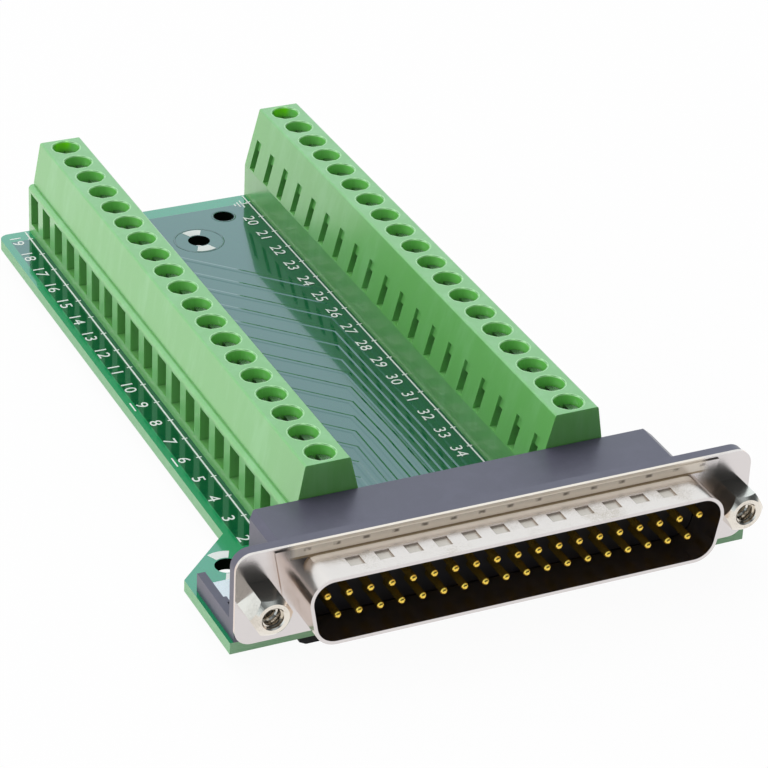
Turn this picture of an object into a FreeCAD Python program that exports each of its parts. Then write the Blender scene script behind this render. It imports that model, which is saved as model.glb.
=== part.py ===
import FreeCAD, Part
import math
import os
import re

import Sketcher

# D-sub terminal block adapter: a 37-way right-angle male connector on a printed circuit board, with
# every contact led to a screw terminal in one of two long rows.
# Drawn with x across the board (0 at the connector's middle), y from the connector's flange face (0)
# towards the back, and z up from the board's top face (0). Each body's Placement then moves it so that
# the origin lies under the middle of the whole part, on the surface it stands on.

driving_sizes = [
    ("rim_width", 4.75, "board beyond the wire faces of the terminal housings"),
    ("ear_margin", 0.34, "board's ears beyond the metal flange"),
    ("ear_length", 14.5, "straight side of an ear"),
    ("slant_length", 8.0, "slanted edge between ear and body, along y"),
    ("board_thick", 1.6, "board laminate"),
    ("board_setback", 0.5, "flange face to the board's front edge"),
    ("corner_round", 1.5, "rear corners of the board"),
    ("mount_hole", 3.2, "diameter of the ear holes and the rear middle hole"),
    ("ear_hole_inset", 6.1, "ear holes to the ends of the ears"),
    ("ear_hole_reach", 16.1, "flange face to the ear holes"),
    ("rear_hole_inset", 11.4, "rear middle hole to the board's back edge"),
    ("side_hole", 3.0, "diameter of the small rear hole"),
    ("side_hole_shift", 6.3, "small rear hole, off the middle line"),
    ("side_hole_inset", 5.45, "small rear hole to the board's back edge"),
    ("way_count", 19, "terminals in a row"),
    ("way_pitch", 5.0, "terminal to terminal"),
    ("aisle_width", 23.7, "between the inner walls of the two housings"),
    ("block_depth", 10.05, "housing, inner wall to wire face"),
    ("block_height", 13.75, "housing above the board"),
    ("fold_height", 5.0, "where the upright inner wall turns into the slope"),
    ("slope_run", 2.2, "how far the inner slope leans"),
    ("outer_slope_run", 1.05, "how far the outer slope leans"),
    ("shoulder_depth", 0.8, "how far the wire face stands out from the outer slope"),
    ("shoulder_round", 0.65, "rounding along the shoulder"),
    ("seam_depth", 0.18, "groove along the foot of the outer slope"),
    ("edge_round", 0.3, "rounding along the top edges"),
    ("well_width", 3.85, "width of a screw well"),
    ("well_sides", 8, "flats round a screw well"),
    ("head_sink", 1.35, "screw head below the top face"),
    ("web_thick", 0.5, "web under the screw head"),
    ("partition", 0.9, "wall between neighbouring clamp chambers"),
    ("chamber_start", 1.9, "inner wall to the clamp chamber"),
    ("entry_post", 1.95, "wall between neighbouring wire entries"),
    ("entry_height", 4.95, "wire entry, bottom to top"),
    ("entry_lintel", 0.95, "wire face above the entries"),
    ("entry_sill", 1.55, "board to the bottom of a wire entry"),
    ("entry_wall", 2.45, "depth of a wire entry"),
    ("slot_width", 1.6, "slot in the inner slope, across"),
    ("slot_lift", 0.2, "fold to the bottom of a slot"),
    ("slot_length", 4.45, "slot, bottom to top, measured upright"),
    ("slot_sink", 0.5, "depth of the slot's floor"),
    ("window_height", 2.8, "open part of a slot, measured upright"),
    ("head_width", 3.6, "diameter of a terminal screw's head"),
    ("head_sides", 8, "flats round a terminal screw's head"),
    ("small_sides", 6, "flats round a screw's shank and its holes"),
    ("head_height", 1.2, "thickness of a terminal screw's head"),
    ("shank_width", 2.5, "diameter of a terminal screw's shank"),
    ("drive_width", 0.6, "screwdriver slot, across"),
    ("drive_depth", 0.7, "screwdriver slot, deep"),
    ("bearing_gap", 0.05, "running clearance round and under a screw"),
    ("cage_gap", 0.1, "clamp cage to the chamber wall"),
    ("cage_length", 4.3, "clamp cage along the wire"),
    ("cage_side", 0.5, "side walls of a cage"),
    ("cage_floor", 0.65, "floor of a cage"),
    ("cage_roof", 0.9, "threaded roof of a cage"),
    ("wire_space", 2.9, "open clamp, cage floor to contact bar"),
    ("bar_height", 5.95, "board to the underside of a contact bar"),
    ("bar_thick", 0.8, "contact bar"),
    ("bar_play", 0.2, "contact bar to the side walls of its cage"),
    ("bar_gap", 0.15, "contact bar to housing and cage"),
    ("tail_width", 0.9, "solder tail of a contact bar, across"),
    ("tail_stickout", 1.4, "solder tails below the board"),
    ("tail_gap", 0.1, "solder tails to the sides of their holes"),
    ("contact_pitch", 2.77, "connector contacts along a row"),
    ("row_spacing", 2.84, "connector rows apart"),
    ("upper_contacts", 19, "contacts in the upper row"),
    ("lower_contacts", 18, "contacts in the lower row"),
    ("axis_height", 5.9, "connector's middle above the board"),
    ("pin_width", 1.0, "diameter of a contact pin"),
    ("pin_sides", 6, "flats round a contact pin"),
    ("pin_bevel", 0.25, "bevel round a pin's tip"),
    ("pin_reach", 4.96, "pin tips in front of the flange face"),
    ("pin_gap", 0.01, "square stem of a pin to the insulator"),
    ("lead_width", 0.6, "square lead behind a pin"),
    ("lead_bend", 0.45, "bevel outside a lead's bend"),
    ("lead_gap", 0.13, "leads to the sides of their holes in the board"),
    ("near_lead_reach", 8.0, "flange face to the leads of the lower row"),
    ("lead_room", 1.26, "middle of the far leads to the hood's rear wall"),
    ("lead_headroom", 0.43, "leads to the hood's roof"),
    ("contact_margin", 2.78, "outermost contact to the inside of the metal D"),
    ("screw_margin", 4.04, "inside of the D to a jackscrew's middle"),
    ("flange_margin", 2.91, "jackscrew's middle to the end of the metal flange"),
    ("flange_rim", 2.095, "inside of the D to the long edges of the flange"),
    ("flange_thick", 0.45, "metal flange"),
    ("flange_round", 2.2, "corners of the flange"),
    ("flange_hole", 3.1, "width of the holes for the jackscrews' studs"),
    ("bead_offset", 1.3, "raised bead beyond the D"),
    ("bead_height", 0.25, "raised bead in front of the flange"),
    ("dee_height", 8.36, "inside of the metal D, bottom to top"),
    ("dee_slant", 10.0, "lean of the D's ends, in degrees"),
    ("dee_round", 2.6, "inside corners of the D"),
    ("dee_wall", 0.45, "wall of the D"),
    ("dee_reach", 5.9, "D in front of the flange face"),
    ("dimple_count", 12, "dimples along a long side of the D"),
    ("dimple_margin", 6.81, "inside of the D to the first dimple's middle"),
    ("dimple_width", 1.9, "dimple, each way"),
    ("dimple_depth", 0.25, "dimple, sunk into the wall"),
    ("dimple_reach", 3.15, "dimples in front of the flange face"),
    ("plate_inset", 0.12, "plastic plate inside the edge of the metal flange"),
    ("plate_thick", 1.55, "plastic plate behind the metal flange"),
    ("hood_inset", 0.11, "hood's ends inside the widest part of the D"),
    ("hood_gap", 0.2, "hood to the terminal housings"),
    ("hood_bevel_side", 0.9, "bevel along the hood's ends, along x"),
    ("hood_bevel_drop", 0.7, "bevel along the hood's ends, along z"),
    ("hood_skin", 1.2, "walls of the hood"),
    ("hood_front_wall", 3.0, "wall behind the plate that carries the insulator"),
    ("rib_width", 1.05, "side ribs of a bracket"),
    ("rib_height", 2.55, "side ribs above the board"),
    ("rib_reach", 12.2, "flange face to the back end of the ribs"),
    ("rib_spread", 4.45, "between the ribs' middles"),
    ("bracket_floor", 0.55, "plastic under the board lock"),
    ("catch_length", 1.2, "catch on the outer rib, along y"),
    ("catch_size", 0.4, "catch, how far it stands out"),
    ("catch_reach", 5.2, "flange face to the catch"),
    ("insulator_gap", 0.1, "insulator to the metal D and the plate"),
    ("insulator_front", 0.3, "insulator in front of the flange face"),
    ("socket_depth", 1.0, "D-shaped recess in the plate for the insulator"),
    ("core_inset", 1.81, "ends of the insulator's core inside the widest part of the D"),
    ("core_height", 4.2, "insulator's core behind the plate, bottom to top"),
    ("hex_width", 4.75, "jackscrew across its flats"),
    ("hex_length", 4.76, "jackscrew in front of the flange"),
    ("hex_bevel", 0.4, "bevel round the jackscrew's end"),
    ("thread_bore", 2.3, "threaded hole in a jackscrew"),
    ("thread_depth", 4.2, "depth of the threaded hole"),
    ("stud_width", 2.8, "diameter of a jackscrew's threaded stud"),
    ("stud_sides", 8, "flats round a stud and its holes"),
    ("stud_gap", 0.05, "stud to the board lock"),
    ("stud_length", 4.6, "stud behind the flange face"),
    ("strap_thick", 0.5, "board lock strap"),
    ("strap_width", 3.1, "board lock strap across"),
    ("strap_inset", 0.4, "back end of a strap to the back ends of the ribs"),
    ("strap_rise", 3.3, "upright leg of a strap above the jackscrew's middle"),
    ("lock_reach", 8.0, "flange face to the lock's prongs"),
    ("lock_hole", 3.1, "diameter of a lock hole in the board"),
    ("prong_spread", 2.0, "between the prongs' middles"),
    ("prong_width", 1.4, "prong across"),
    ("prong_stickout", 1.3, "prongs below the board"),
    ("foot_side", 5.5, "rubber foot, each way"),
    ("foot_height", 2.1, "rubber foot"),
    ("foot_inset", 1.6, "feet to the board's long edges"),
    ("foot_margin", 1.5, "rear feet to the board's back edge"),
    ("foot_lead_gap", 0.5, "front feet to the middle of the near leads"),
    ("foot_bevel", 0.6, "upright corners of a foot"),
]

doc = FreeCAD.newDocument("terminal_adapter")
sheet = doc.addObject("Spreadsheet::Sheet", "Sizes")
for row, (alias, number, note) in enumerate(driving_sizes, start=1):
    sheet.set(f"A{row}", note)
    sheet.set(f"B{row}", str(number))
    sheet.setAlias(f"B{row}", alias)
doc.recompute()
size_names = {alias for alias, number, note in driving_sizes}


# A formula is written with the bare names of the sizes, such as "block_depth / 2".
def formula(text):
    return re.sub(r"[a-z]+(_[a-z]+)*", lambda m: "Sizes." + m[0] if m[0] in size_names else m[0], text)


def value(text):
    return float(sheet.evalExpression(formula(text)))


def bind(obj, path, text):
    obj.setExpression(path, formula(text))


# Lengths that several pieces share.
upper_row = "(axis_height + row_spacing / 2)"
lower_row = "(axis_height - row_spacing / 2)"
far_lead_reach = "(near_lead_reach + row_spacing)"
hood_back = f"({far_lead_reach} + lead_room + hood_skin)"
hood_height = f"({upper_row} + lead_width / 2 + lead_headroom + hood_skin)"
block_reach = f"({hood_back} + hood_gap)"
board_front = "board_setback"
board_back = f"({block_reach} + way_pitch * way_count)"
first_way = f"({block_reach} + way_pitch / 2)"
inner_wall = "(aisle_width / 2)"
half_board = "(aisle_width / 2 + block_depth + rim_width)"
top_width = "(block_depth - shoulder_depth - outer_slope_run - slope_run)"
shoulder_height = "(entry_sill + entry_height + entry_lintel)"
screw_line = f"(aisle_width / 2 + slope_run + {top_width} / 2)"
tail_line = "(aisle_width / 2 + chamber_start + bar_gap + bar_thick / 2)"
head_top = "(block_height - head_sink)"
web_top = "(block_height - head_sink - head_height - bearing_gap)"
chamber_top = "(block_height - head_sink - head_height - bearing_gap - web_thick)"
chamber_end = "(block_depth - entry_wall)"
half_cage = "((way_pitch - partition) / 2 - cage_gap)"
half_dee = "((upper_contacts - 1) / 2 * contact_pitch + contact_margin)"
half_screw_span = f"({half_dee} + screw_margin)"
half_flange = f"({half_screw_span} + flange_margin)"
half_flange_height = "(dee_height / 2 + flange_rim)"
plate_back = "(flange_thick + plate_thick)"
socket_end = "(flange_thick + socket_depth)"
core_end = "(flange_thick + plate_thick + hood_front_wall)"
strap_reach = "(rib_reach - strap_inset)"
middle_reach = f"(({board_back} - dee_reach) / 2)"
standing_height = "(board_thick + foot_height)"


def new_body(label, shift=("0", "0", "0")):
    body = doc.addObject("PartDesign::Body", label)
    body.Label = label
    body.AllowCompound = True
    bind(body, "Placement.Base.x", shift[0])
    bind(body, "Placement.Base.y", f"{shift[1]} - {middle_reach}")
    bind(body, "Placement.Base.z", f"{shift[2]} + {standing_height}")
    return body


def origin_part(body, role):
    return [part for part in body.Origin.OriginFeatures if part.Role == role][0]


# A sketch on one of the body's own planes, moved along the plane's normal: +z for XY, -y for XZ, +x for YZ.
def new_sketch(body, plane, lift="0"):
    sketch = body.newObject("Sketcher::SketchObject", body.Label + "_sketch")
    sketch.AttachmentSupport = [(origin_part(body, plane), "")]
    sketch.MapMode = "FlatFace"
    if lift != "0":
        bind(sketch, "AttachmentOffset.Base.z", lift)
    return sketch


def hold(sketch, kind, edge, end, text):
    index = sketch.addConstraint(Sketcher.Constraint(kind, -1, 1, edge, end, value(text)))
    bind(sketch, f"Constraints[{index}]", text)


# A closed outline of straight edges through points that are pairs of formulas.
def outline(sketch, points):
    spots = [FreeCAD.Vector(value(across), value(up), 0) for across, up in points]
    first = sketch.GeometryCount
    count = len(points)
    for i in range(count):
        sketch.addGeometry(Part.LineSegment(spots[i], spots[(i + 1) % count]))
    for i, (across, up) in enumerate(points):
        following = first + (i + 1) % count
        sketch.addConstraint(Sketcher.Constraint("Coincident", first + i, 2, following, 1))
        hold(sketch, "DistanceX", first + i, 1, across)
        hold(sketch, "DistanceY", first + i, 1, up)


def box_outline(sketch, left, bottom, right, top):
    outline(sketch, [(left, bottom), (right, bottom), (right, top), (left, top)])


def ring(sketch, across, up, width):
    centre = FreeCAD.Vector(value(across), value(up), 0)
    edge = sketch.addGeometry(Part.Circle(centre, FreeCAD.Vector(0, 0, 1), value(width) / 2))
    hold(sketch, "DistanceX", edge, 3, across)
    hold(sketch, "DistanceY", edge, 3, up)
    index = sketch.addConstraint(Sketcher.Constraint("Diameter", edge, value(width)))
    bind(sketch, f"Constraints[{index}]", width)


# A regular polygon: round a circle of that width, or inside it (inside=True) where it stands for a shaft.
def polygon(sketch, across, up, width, sides, inside=False):
    count = int(value(sides))
    reach = f"({width}) / 2" if inside else f"({width}) / 2 / cos(180 deg / {count})"
    corners = []
    for i in range(count):
        turn = f"{(i + 0.5) * 360 / count} deg"
        corners.append((f"{across} + {reach} * cos({turn})", f"{up} + {reach} * sin({turn})"))
    outline(sketch, corners)


def solid_volume(body):
    return body.Shape.Volume if body.Tip else 0.0


def finish_feature(body, feature):
    body.Tip = feature
    doc.recompute()
    if "Invalid" in feature.State:
        raise ValueError(f"{body.Label}: {feature.Label} can't be made")
    return feature


# Adds a sketch as a slab: along the plane's normal, against it (back=True), or half each way (both=True).
def pad(body, sketch, length, back=False, both=False):
    before = solid_volume(body)
    feature = body.newObject("PartDesign::Pad", body.Label + "_pad")
    feature.Profile = sketch
    bind(feature, "Length", length)
    feature.Reversed = back
    feature.Midplane = both
    finish_feature(body, feature)
    if body.Shape.Volume <= before:
        raise ValueError(f"{body.Label}: a pad adds nothing")
    return feature


# Cuts a sketch out: against the plane's normal, along it (ahead=True), or half each way (both=True).
def pocket(body, sketch, length, ahead=False, both=False):
    before = solid_volume(body)
    feature = body.newObject("PartDesign::Pocket", body.Label + "_pocket")
    feature.Profile = sketch
    bind(feature, "Length", length)
    feature.Reversed = ahead
    feature.Midplane = both
    finish_feature(body, feature)
    if body.Shape.Volume >= before:
        raise ValueError(f"{body.Label}: a pocket cuts nothing")
    return feature


# Repeats features, or the whole body, along one of its axes.
def repeat(body, features, axis, spacing, count):
    pattern = body.newObject("PartDesign::LinearPattern", body.Label + "_row")
    if features:
        pattern.Originals = features
    else:
        pattern.TransformMode = "Whole shape"
    pattern.Direction = (origin_part(body, axis), [""])
    pattern.Mode = "Spacing"
    bind(pattern, "Offset", spacing)
    bind(pattern, "Occurrences", count)
    return finish_feature(body, pattern)


# Names of the straight edges along a direction whose middle passes a test.
def edges_along(shape, direction, test):
    names = []
    for number, edge in enumerate(shape.Edges, start=1):
        if edge.Degenerated or not isinstance(edge.Curve, Part.Line):
            continue
        if abs(edge.Curve.Direction.dot(direction)) > 0.9999 and test(edge.CenterOfMass):
            names.append(f"Edge{number}")
    return names


def round_edges(body, names, radius):
    base = body.Tip
    feature = body.newObject("PartDesign::Fillet", body.Label + "_round")
    feature.Base = (base, names)
    bind(feature, "Radius", radius)
    return finish_feature(body, feature)


def bevel_edges(body, names, size):
    base = body.Tip
    feature = body.newObject("PartDesign::Chamfer", body.Label + "_bevel")
    feature.Base = (base, names)
    bind(feature, "Size", size)
    return finish_feature(body, feature)


along_x = FreeCAD.Vector(1, 0, 0)
along_y = FreeCAD.Vector(0, 1, 0)
along_z = FreeCAD.Vector(0, 0, 1)


def make_board():
    body = new_body("circuit_board")
    ear_end = f"({board_front} + ear_length)"
    half_ear = f"({half_flange} + ear_margin)"
    plan = new_sketch(body, "XY_Plane")
    outline(plan, [
        (f"-{half_ear}", board_front), (half_ear, board_front), (half_ear, ear_end),
        (half_board, f"{ear_end} + slant_length"), (half_board, board_back),
        (f"-{half_board}", board_back), (f"-{half_board}", f"{ear_end} + slant_length"),
        (f"-{half_ear}", ear_end),
    ])
    pad(body, plan, "board_thick", back=True)
    back = value(board_back)
    round_edges(body, edges_along(body.Tip.Shape, along_z, lambda p: p.y > back - 0.01), "corner_round")

    holes = new_sketch(body, "XY_Plane")
    for side in ("-", ""):
        ring(holes, f"{side}({half_ear} - ear_hole_inset)", "ear_hole_reach", "mount_hole")
        polygon(holes, f"{side}{half_screw_span}", "lock_reach", "lock_hole", "stud_sides")
    ring(holes, "0", f"{board_back} - rear_hole_inset", "mount_hole")
    ring(holes, "side_hole_shift", f"{board_back} - side_hole_inset", "side_hole")
    pocket(body, holes, "board_thick")

    terminal_holes = new_sketch(body, "XY_Plane")
    for side in ("-", ""):
        box_outline(terminal_holes, f"{side}{tail_line} - bar_thick / 2 - tail_gap",
                    f"{first_way} - tail_width / 2 - tail_gap", f"{side}{tail_line} + bar_thick / 2 + tail_gap",
                    f"{first_way} + tail_width / 2 + tail_gap")
    repeat(body, [pocket(body, terminal_holes, "board_thick")], "Y_Axis", "way_pitch", "way_count")
    for contacts, reach in (("upper_contacts", far_lead_reach), ("lower_contacts", "near_lead_reach")):
        lead_holes = new_sketch(body, "XY_Plane")
        first_lead = f"(-({contacts} - 1) / 2 * contact_pitch)"
        half_hole = "(lead_width / 2 + lead_gap)"
        box_outline(lead_holes, f"{first_lead} - {half_hole}", f"{reach} - {half_hole}",
                    f"{first_lead} + {half_hole}", f"{reach} + {half_hole}")
        repeat(body, [pocket(body, lead_holes, "board_thick")], "X_Axis", "contact_pitch", contacts)
    return body


# One row's housing: a long moulding with a screw well, a clamp chamber, a wire entry and a slot at each way.
# side is "-" for the row on the left and "" for the row on the right.
def make_housing(label, side):
    body = new_body(label)

    def across(distance):
        return f"{side}({inner_wall} + {distance})"

    slope_foot = "block_depth - shoulder_depth"
    section = new_sketch(body, "XZ_Plane", f"-{block_reach}")
    outline(section, [
        (across("0"), "0"), (across("block_depth"), "0"),
        (across("block_depth"), shoulder_height),
        (across(slope_foot), shoulder_height),
        (across(f"{slope_foot} - seam_depth"), f"{shoulder_height} + seam_depth / 2"),
        (across(slope_foot), f"{shoulder_height} + seam_depth"),
        (across(f"{slope_foot} - outer_slope_run"), "block_height"), (across("slope_run"), "block_height"),
        (across("0"), "fold_height"),
    ])
    pad(body, section, "way_pitch * way_count", back=True)
    shoulder = (value(across("block_depth")), value(shoulder_height))
    round_edges(body, edges_along(body.Tip.Shape, along_y, lambda p: math.dist((p.x, p.z), shoulder) < 0.01),
                "shoulder_round")
    top = value("block_height")
    round_edges(body, edges_along(body.Tip.Shape, along_y, lambda p: p.z > top - 0.01), "edge_round")

    well = new_sketch(body, "XY_Plane", "block_height")
    polygon(well, side + screw_line, first_way, "well_width", "well_sides")
    shank_hole = new_sketch(body, "XY_Plane", web_top)
    polygon(shank_hole, side + screw_line, first_way, "shank_width + 2 * bearing_gap", "small_sides")
    half_chamber = "(way_pitch - partition) / 2"
    chamber = new_sketch(body, "XY_Plane")
    box_outline(chamber, across("chamber_start"), f"{first_way} - {half_chamber}",
                across(chamber_end), f"{first_way} + {half_chamber}")
    entry = new_sketch(body, "XY_Plane", "entry_sill")
    half_entry = "(way_pitch - entry_post) / 2"
    box_outline(entry, across(chamber_end), f"{first_way} - {half_entry}",
                across("block_depth"), f"{first_way} + {half_entry}")

    slot_foot = "(fold_height + slot_lift)"
    slot_top = "(fold_height + slot_lift + slot_length)"
    slope_step = "slope_run / (block_height - fold_height)"
    slot = new_sketch(body, "XZ_Plane", f"-{first_way}")
    outline(slot, [
        (across("-slope_run"), slot_foot),
        (across(f"slot_lift * {slope_step} + slot_sink"), slot_foot),
        (across(f"(slot_lift + slot_length) * {slope_step} + slot_sink"), slot_top),
        (across("-slope_run"), slot_top),
    ])
    window = new_sketch(body, "XZ_Plane", f"-{first_way}")
    box_outline(window, across("-slope_run"), slot_foot, across("chamber_start"),
                f"{slot_foot} + window_height")

    cuts = [
        pocket(body, well, f"block_height - {web_top}"),
        pocket(body, shank_hole, "web_thick"),
        pocket(body, chamber, chamber_top, ahead=True),
        pocket(body, entry, "entry_height", ahead=True),
        pocket(body, slot, "slot_width", both=True),
        pocket(body, window, "slot_width", both=True),
    ]
    repeat(body, cuts, "Y_Axis", "way_pitch", "way_count")
    return body


# The clamp cages of one row, stored open: each cage hangs on its screw by the threaded roof, round the bar.
def make_cages(label, side):
    body = new_body(label)
    floor_top = "(bar_height - wire_space)"
    roof_foot = "(bar_height + bar_thick + bar_gap)"
    shape = new_sketch(body, "XY_Plane", f"{floor_top} - cage_floor")
    box_outline(shape, f"{side}{screw_line} - cage_length / 2", f"{first_way} - {half_cage}",
                f"{side}{screw_line} + cage_length / 2", f"{first_way} + {half_cage}")
    pad(body, shape, f"{roof_foot} + cage_roof - {floor_top} + cage_floor")
    throat = new_sketch(body, "XY_Plane", floor_top)
    box_outline(throat, f"{side}{screw_line} - cage_length", f"{first_way} - {half_cage} + cage_side",
                f"{side}{screw_line} + cage_length", f"{first_way} + {half_cage} - cage_side")
    pocket(body, throat, f"{roof_foot} - {floor_top}", ahead=True)
    thread = new_sketch(body, "XY_Plane", f"{roof_foot} + cage_roof")
    polygon(thread, side + screw_line, first_way, "shank_width + 2 * bearing_gap", "small_sides")
    pocket(body, thread, "cage_roof")
    repeat(body, None, "Y_Axis", "way_pitch", "way_count")
    return body


# The contact bars of one row: a bar through the cage, a leg down the inner wall and a solder tail.
def make_contact_bars(label, side):
    body = new_body(label)
    bar_start = "(chamber_start + bar_gap)"
    bar_end = f"({screw_line} - {inner_wall} + cage_length / 2 - bar_gap)"

    def across(distance):
        return f"{side}({inner_wall} + {distance})"

    bar = new_sketch(body, "XZ_Plane", f"-{first_way}")
    outline(bar, [
        (across(bar_start), "bar_gap"), (across(f"{bar_start} + bar_thick"), "bar_gap"),
        (across(f"{bar_start} + bar_thick"), "bar_height"), (across(bar_end), "bar_height"),
        (across(bar_end), "bar_height + bar_thick"), (across(bar_start), "bar_height + bar_thick"),
    ])
    pad(body, bar, f"2 * ({half_cage} - cage_side - bar_play)", both=True)
    tail = new_sketch(body, "XY_Plane", "bar_gap")
    box_outline(tail, f"{side}{tail_line} - bar_thick / 2", f"{first_way} - tail_width / 2",
                f"{side}{tail_line} + bar_thick / 2", f"{first_way} + tail_width / 2")
    pad(body, tail, "bar_gap + board_thick + tail_stickout", back=True)
    repeat(body, None, "Y_Axis", "way_pitch", "way_count")
    return body


def make_terminal_screw(label, side, way):
    body = new_body(label, (side + screw_line, f"{first_way} + {way} * way_pitch", "0"))
    head = new_sketch(body, "XY_Plane", head_top)
    polygon(head, "0", "0", "head_width", "head_sides", inside=True)
    pad(body, head, "head_height", back=True)
    shank = new_sketch(body, "XY_Plane", f"{head_top} - head_height")
    polygon(shank, "0", "0", "shank_width", "small_sides", inside=True)
    pad(body, shank, f"{head_top} - head_height - bar_height - bar_thick - 2 * bearing_gap", back=True)
    drive = new_sketch(body, "XY_Plane", head_top)
    box_outline(drive, "-drive_width / 2", "-head_width", "drive_width / 2", "head_width")
    pocket(body, drive, "drive_depth")
    return body


# The D outline, wide side up, larger than the inside of the metal D by a margin all round.
def dee_outline(sketch, margin):
    half_height = f"(dee_height / 2 + {margin})"
    lean = "tan(dee_slant * 1 deg)"
    end_margin = f"{margin} / cos(dee_slant * 1 deg)"
    wide = f"({half_dee} + {end_margin} + {margin} * {lean})"
    narrow = f"({half_dee} + {end_margin} - (dee_height + {margin}) * {lean})"
    outline(sketch, [
        (f"-{narrow}", f"axis_height - {half_height}"), (narrow, f"axis_height - {half_height}"),
        (wide, f"axis_height + {half_height}"), (f"-{wide}", f"axis_height + {half_height}"),
    ])


# Rounds those corner edges of a D that run along y and lie between two distances from the flange face.
def round_dee(body, margin, radius):
    reach = value(half_dee) + value(margin) + 0.3
    inner = value(half_dee) - value("dee_height") * math.tan(math.radians(value("dee_slant"))) - 1.0
    half = value("dee_height") / 2 + value(margin)
    middle = value("axis_height")
    corners = edges_along(body.Tip.Shape, along_y, lambda p: inner < abs(p.x) < reach
                          and abs(abs(p.z - middle) - half) < 0.01)
    round_edges(body, corners, radius)


def core_outline(sketch, margin):
    half_core = f"({half_dee} - core_inset + {margin})"
    box_outline(sketch, f"-{half_core}", f"axis_height - core_height / 2 - {margin}",
                half_core, f"axis_height + core_height / 2 + {margin}")


# The drawn metal front: flange, bead and D in one pressing, with the dimples pressed inwards.
def make_shell():
    body = new_body("connector_shell")
    flange = new_sketch(body, "XZ_Plane")
    box_outline(flange, f"-{half_flange}", f"axis_height - {half_flange_height}",
                half_flange, f"axis_height + {half_flange_height}")
    pad(body, flange, "flange_thick", back=True)
    edge = value(half_flange)
    round_edges(body, edges_along(body.Tip.Shape, along_y, lambda p: abs(p.x) > edge - 0.01), "flange_round")
    bead = new_sketch(body, "XZ_Plane")
    dee_outline(bead, "(dee_wall + bead_offset)")
    pad(body, bead, "bead_height")
    collar = new_sketch(body, "XZ_Plane")
    dee_outline(collar, "dee_wall")
    pad(body, collar, "dee_reach")
    bore = new_sketch(body, "XZ_Plane", "dee_reach")
    dee_outline(bore, "0")
    pocket(body, bore, "dee_reach + flange_thick")
    for margin in ("0", "dee_wall", "(dee_wall + bead_offset)"):
        round_dee(body, margin, f"dee_round + {margin}")

    holes = new_sketch(body, "XZ_Plane")
    for side in ("-", ""):
        polygon(holes, side + half_screw_span, "axis_height", "flange_hole", "stud_sides")
    pocket(body, holes, "flange_thick")

    row_start = f"(dimple_margin - {half_dee})"
    for sign in ("", "-"):
        dent = new_sketch(body, "XY_Plane", f"axis_height + {sign}(dee_height / 2 + dee_wall)")
        box_outline(dent, f"{row_start} - dimple_width / 2", "-dimple_reach - dimple_width / 2",
                    f"{row_start} + dimple_width / 2", "-dimple_reach + dimple_width / 2")
        sunk = pocket(body, dent, "dimple_depth", ahead=sign == "-")
        repeat(body, [sunk], "X_Axis", f"2 * ({half_dee} - dimple_margin) / (dimple_count - 1)", "dimple_count")
    return body


# The black moulding: plate behind the metal flange, hood over the leads and a bracket at each end.
def make_connector_housing():
    body = new_body("connector_housing")
    plate = new_sketch(body, "XZ_Plane", "-flange_thick")
    half_plate = f"({half_flange} - plate_inset)"
    box_outline(plate, f"-{half_plate}", "0", half_plate, f"axis_height + {half_flange_height} - plate_inset")
    pad(body, plate, "plate_thick", back=True)
    edge = value(half_plate)
    round_edges(body, edges_along(body.Tip.Shape, along_y,
                                  lambda p: abs(p.x) > edge - 0.01 and p.z > value("axis_height")), "flange_round")

    hood = new_sketch(body, "XZ_Plane", f"-{plate_back}")
    half_hood = f"({half_dee} - hood_inset)"
    outline(hood, [
        (f"-{half_hood}", "0"), (half_hood, "0"), (half_hood, f"{hood_height} - hood_bevel_drop"),
        (f"{half_hood} - hood_bevel_side", hood_height), (f"-{half_hood} + hood_bevel_side", hood_height),
        (f"-{half_hood}", f"{hood_height} - hood_bevel_drop"),
    ])
    pad(body, hood, f"{hood_back} - {plate_back}", back=True)
    rear = value(hood_back)
    bevel_edges(body, edges_along(body.Tip.Shape, along_z, lambda p: p.y > rear - 0.01), "hood_bevel_drop")
    lead_space = new_sketch(body, "XY_Plane")
    box_outline(lead_space, f"-{half_hood} + hood_skin", core_end,
                f"{half_hood} - hood_skin", f"{hood_back} - hood_skin")
    pocket(body, lead_space, f"{hood_height} - hood_skin", ahead=True)

    for side in ("-", ""):
        for offset in ("- rib_spread / 2", "+ rib_spread / 2"):
            rib = new_sketch(body, "XY_Plane")
            middle = f"({side}{half_screw_span} {offset})"
            box_outline(rib, f"{middle} - rib_width / 2", plate_back, f"{middle} + rib_width / 2", "rib_reach")
            pad(body, rib, "rib_height")
        base = new_sketch(body, "XY_Plane")
        box_outline(base, f"{side}{half_screw_span} - rib_spread / 2", plate_back,
                    f"{side}{half_screw_span} + rib_spread / 2", strap_reach)
        pad(body, base, "bracket_floor")
        catch = new_sketch(body, "XY_Plane", "rib_height")
        inner_face = f"({side}({half_screw_span} + rib_spread / 2 - rib_width / 2))"
        box_outline(catch, inner_face, "catch_reach", f"{inner_face} - ({side}catch_size)",
                    "catch_reach + catch_length")
        pad(body, catch, "rib_height - bracket_floor - strap_thick - bearing_gap", back=True)
        prong_hole = new_sketch(body, "XY_Plane")
        polygon(prong_hole, side + half_screw_span, "lock_reach", "lock_hole", "stud_sides")
        pocket(body, prong_hole, "bracket_floor", ahead=True)

    socket = new_sketch(body, "XZ_Plane", "-flange_thick")
    dee_outline(socket, "0")
    pocket(body, socket, "socket_depth")
    round_dee(body, "0", "dee_round")
    core_hole = new_sketch(body, "XZ_Plane", f"-{socket_end}")
    core_outline(core_hole, "insulator_gap")
    pocket(body, core_hole, f"{core_end} - {socket_end}")
    stud_holes = new_sketch(body, "XZ_Plane", "-flange_thick")
    for side in ("-", ""):
        polygon(stud_holes, side + half_screw_span, "axis_height", "flange_hole", "stud_sides")
    pocket(body, stud_holes, "plate_thick")
    return body


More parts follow.
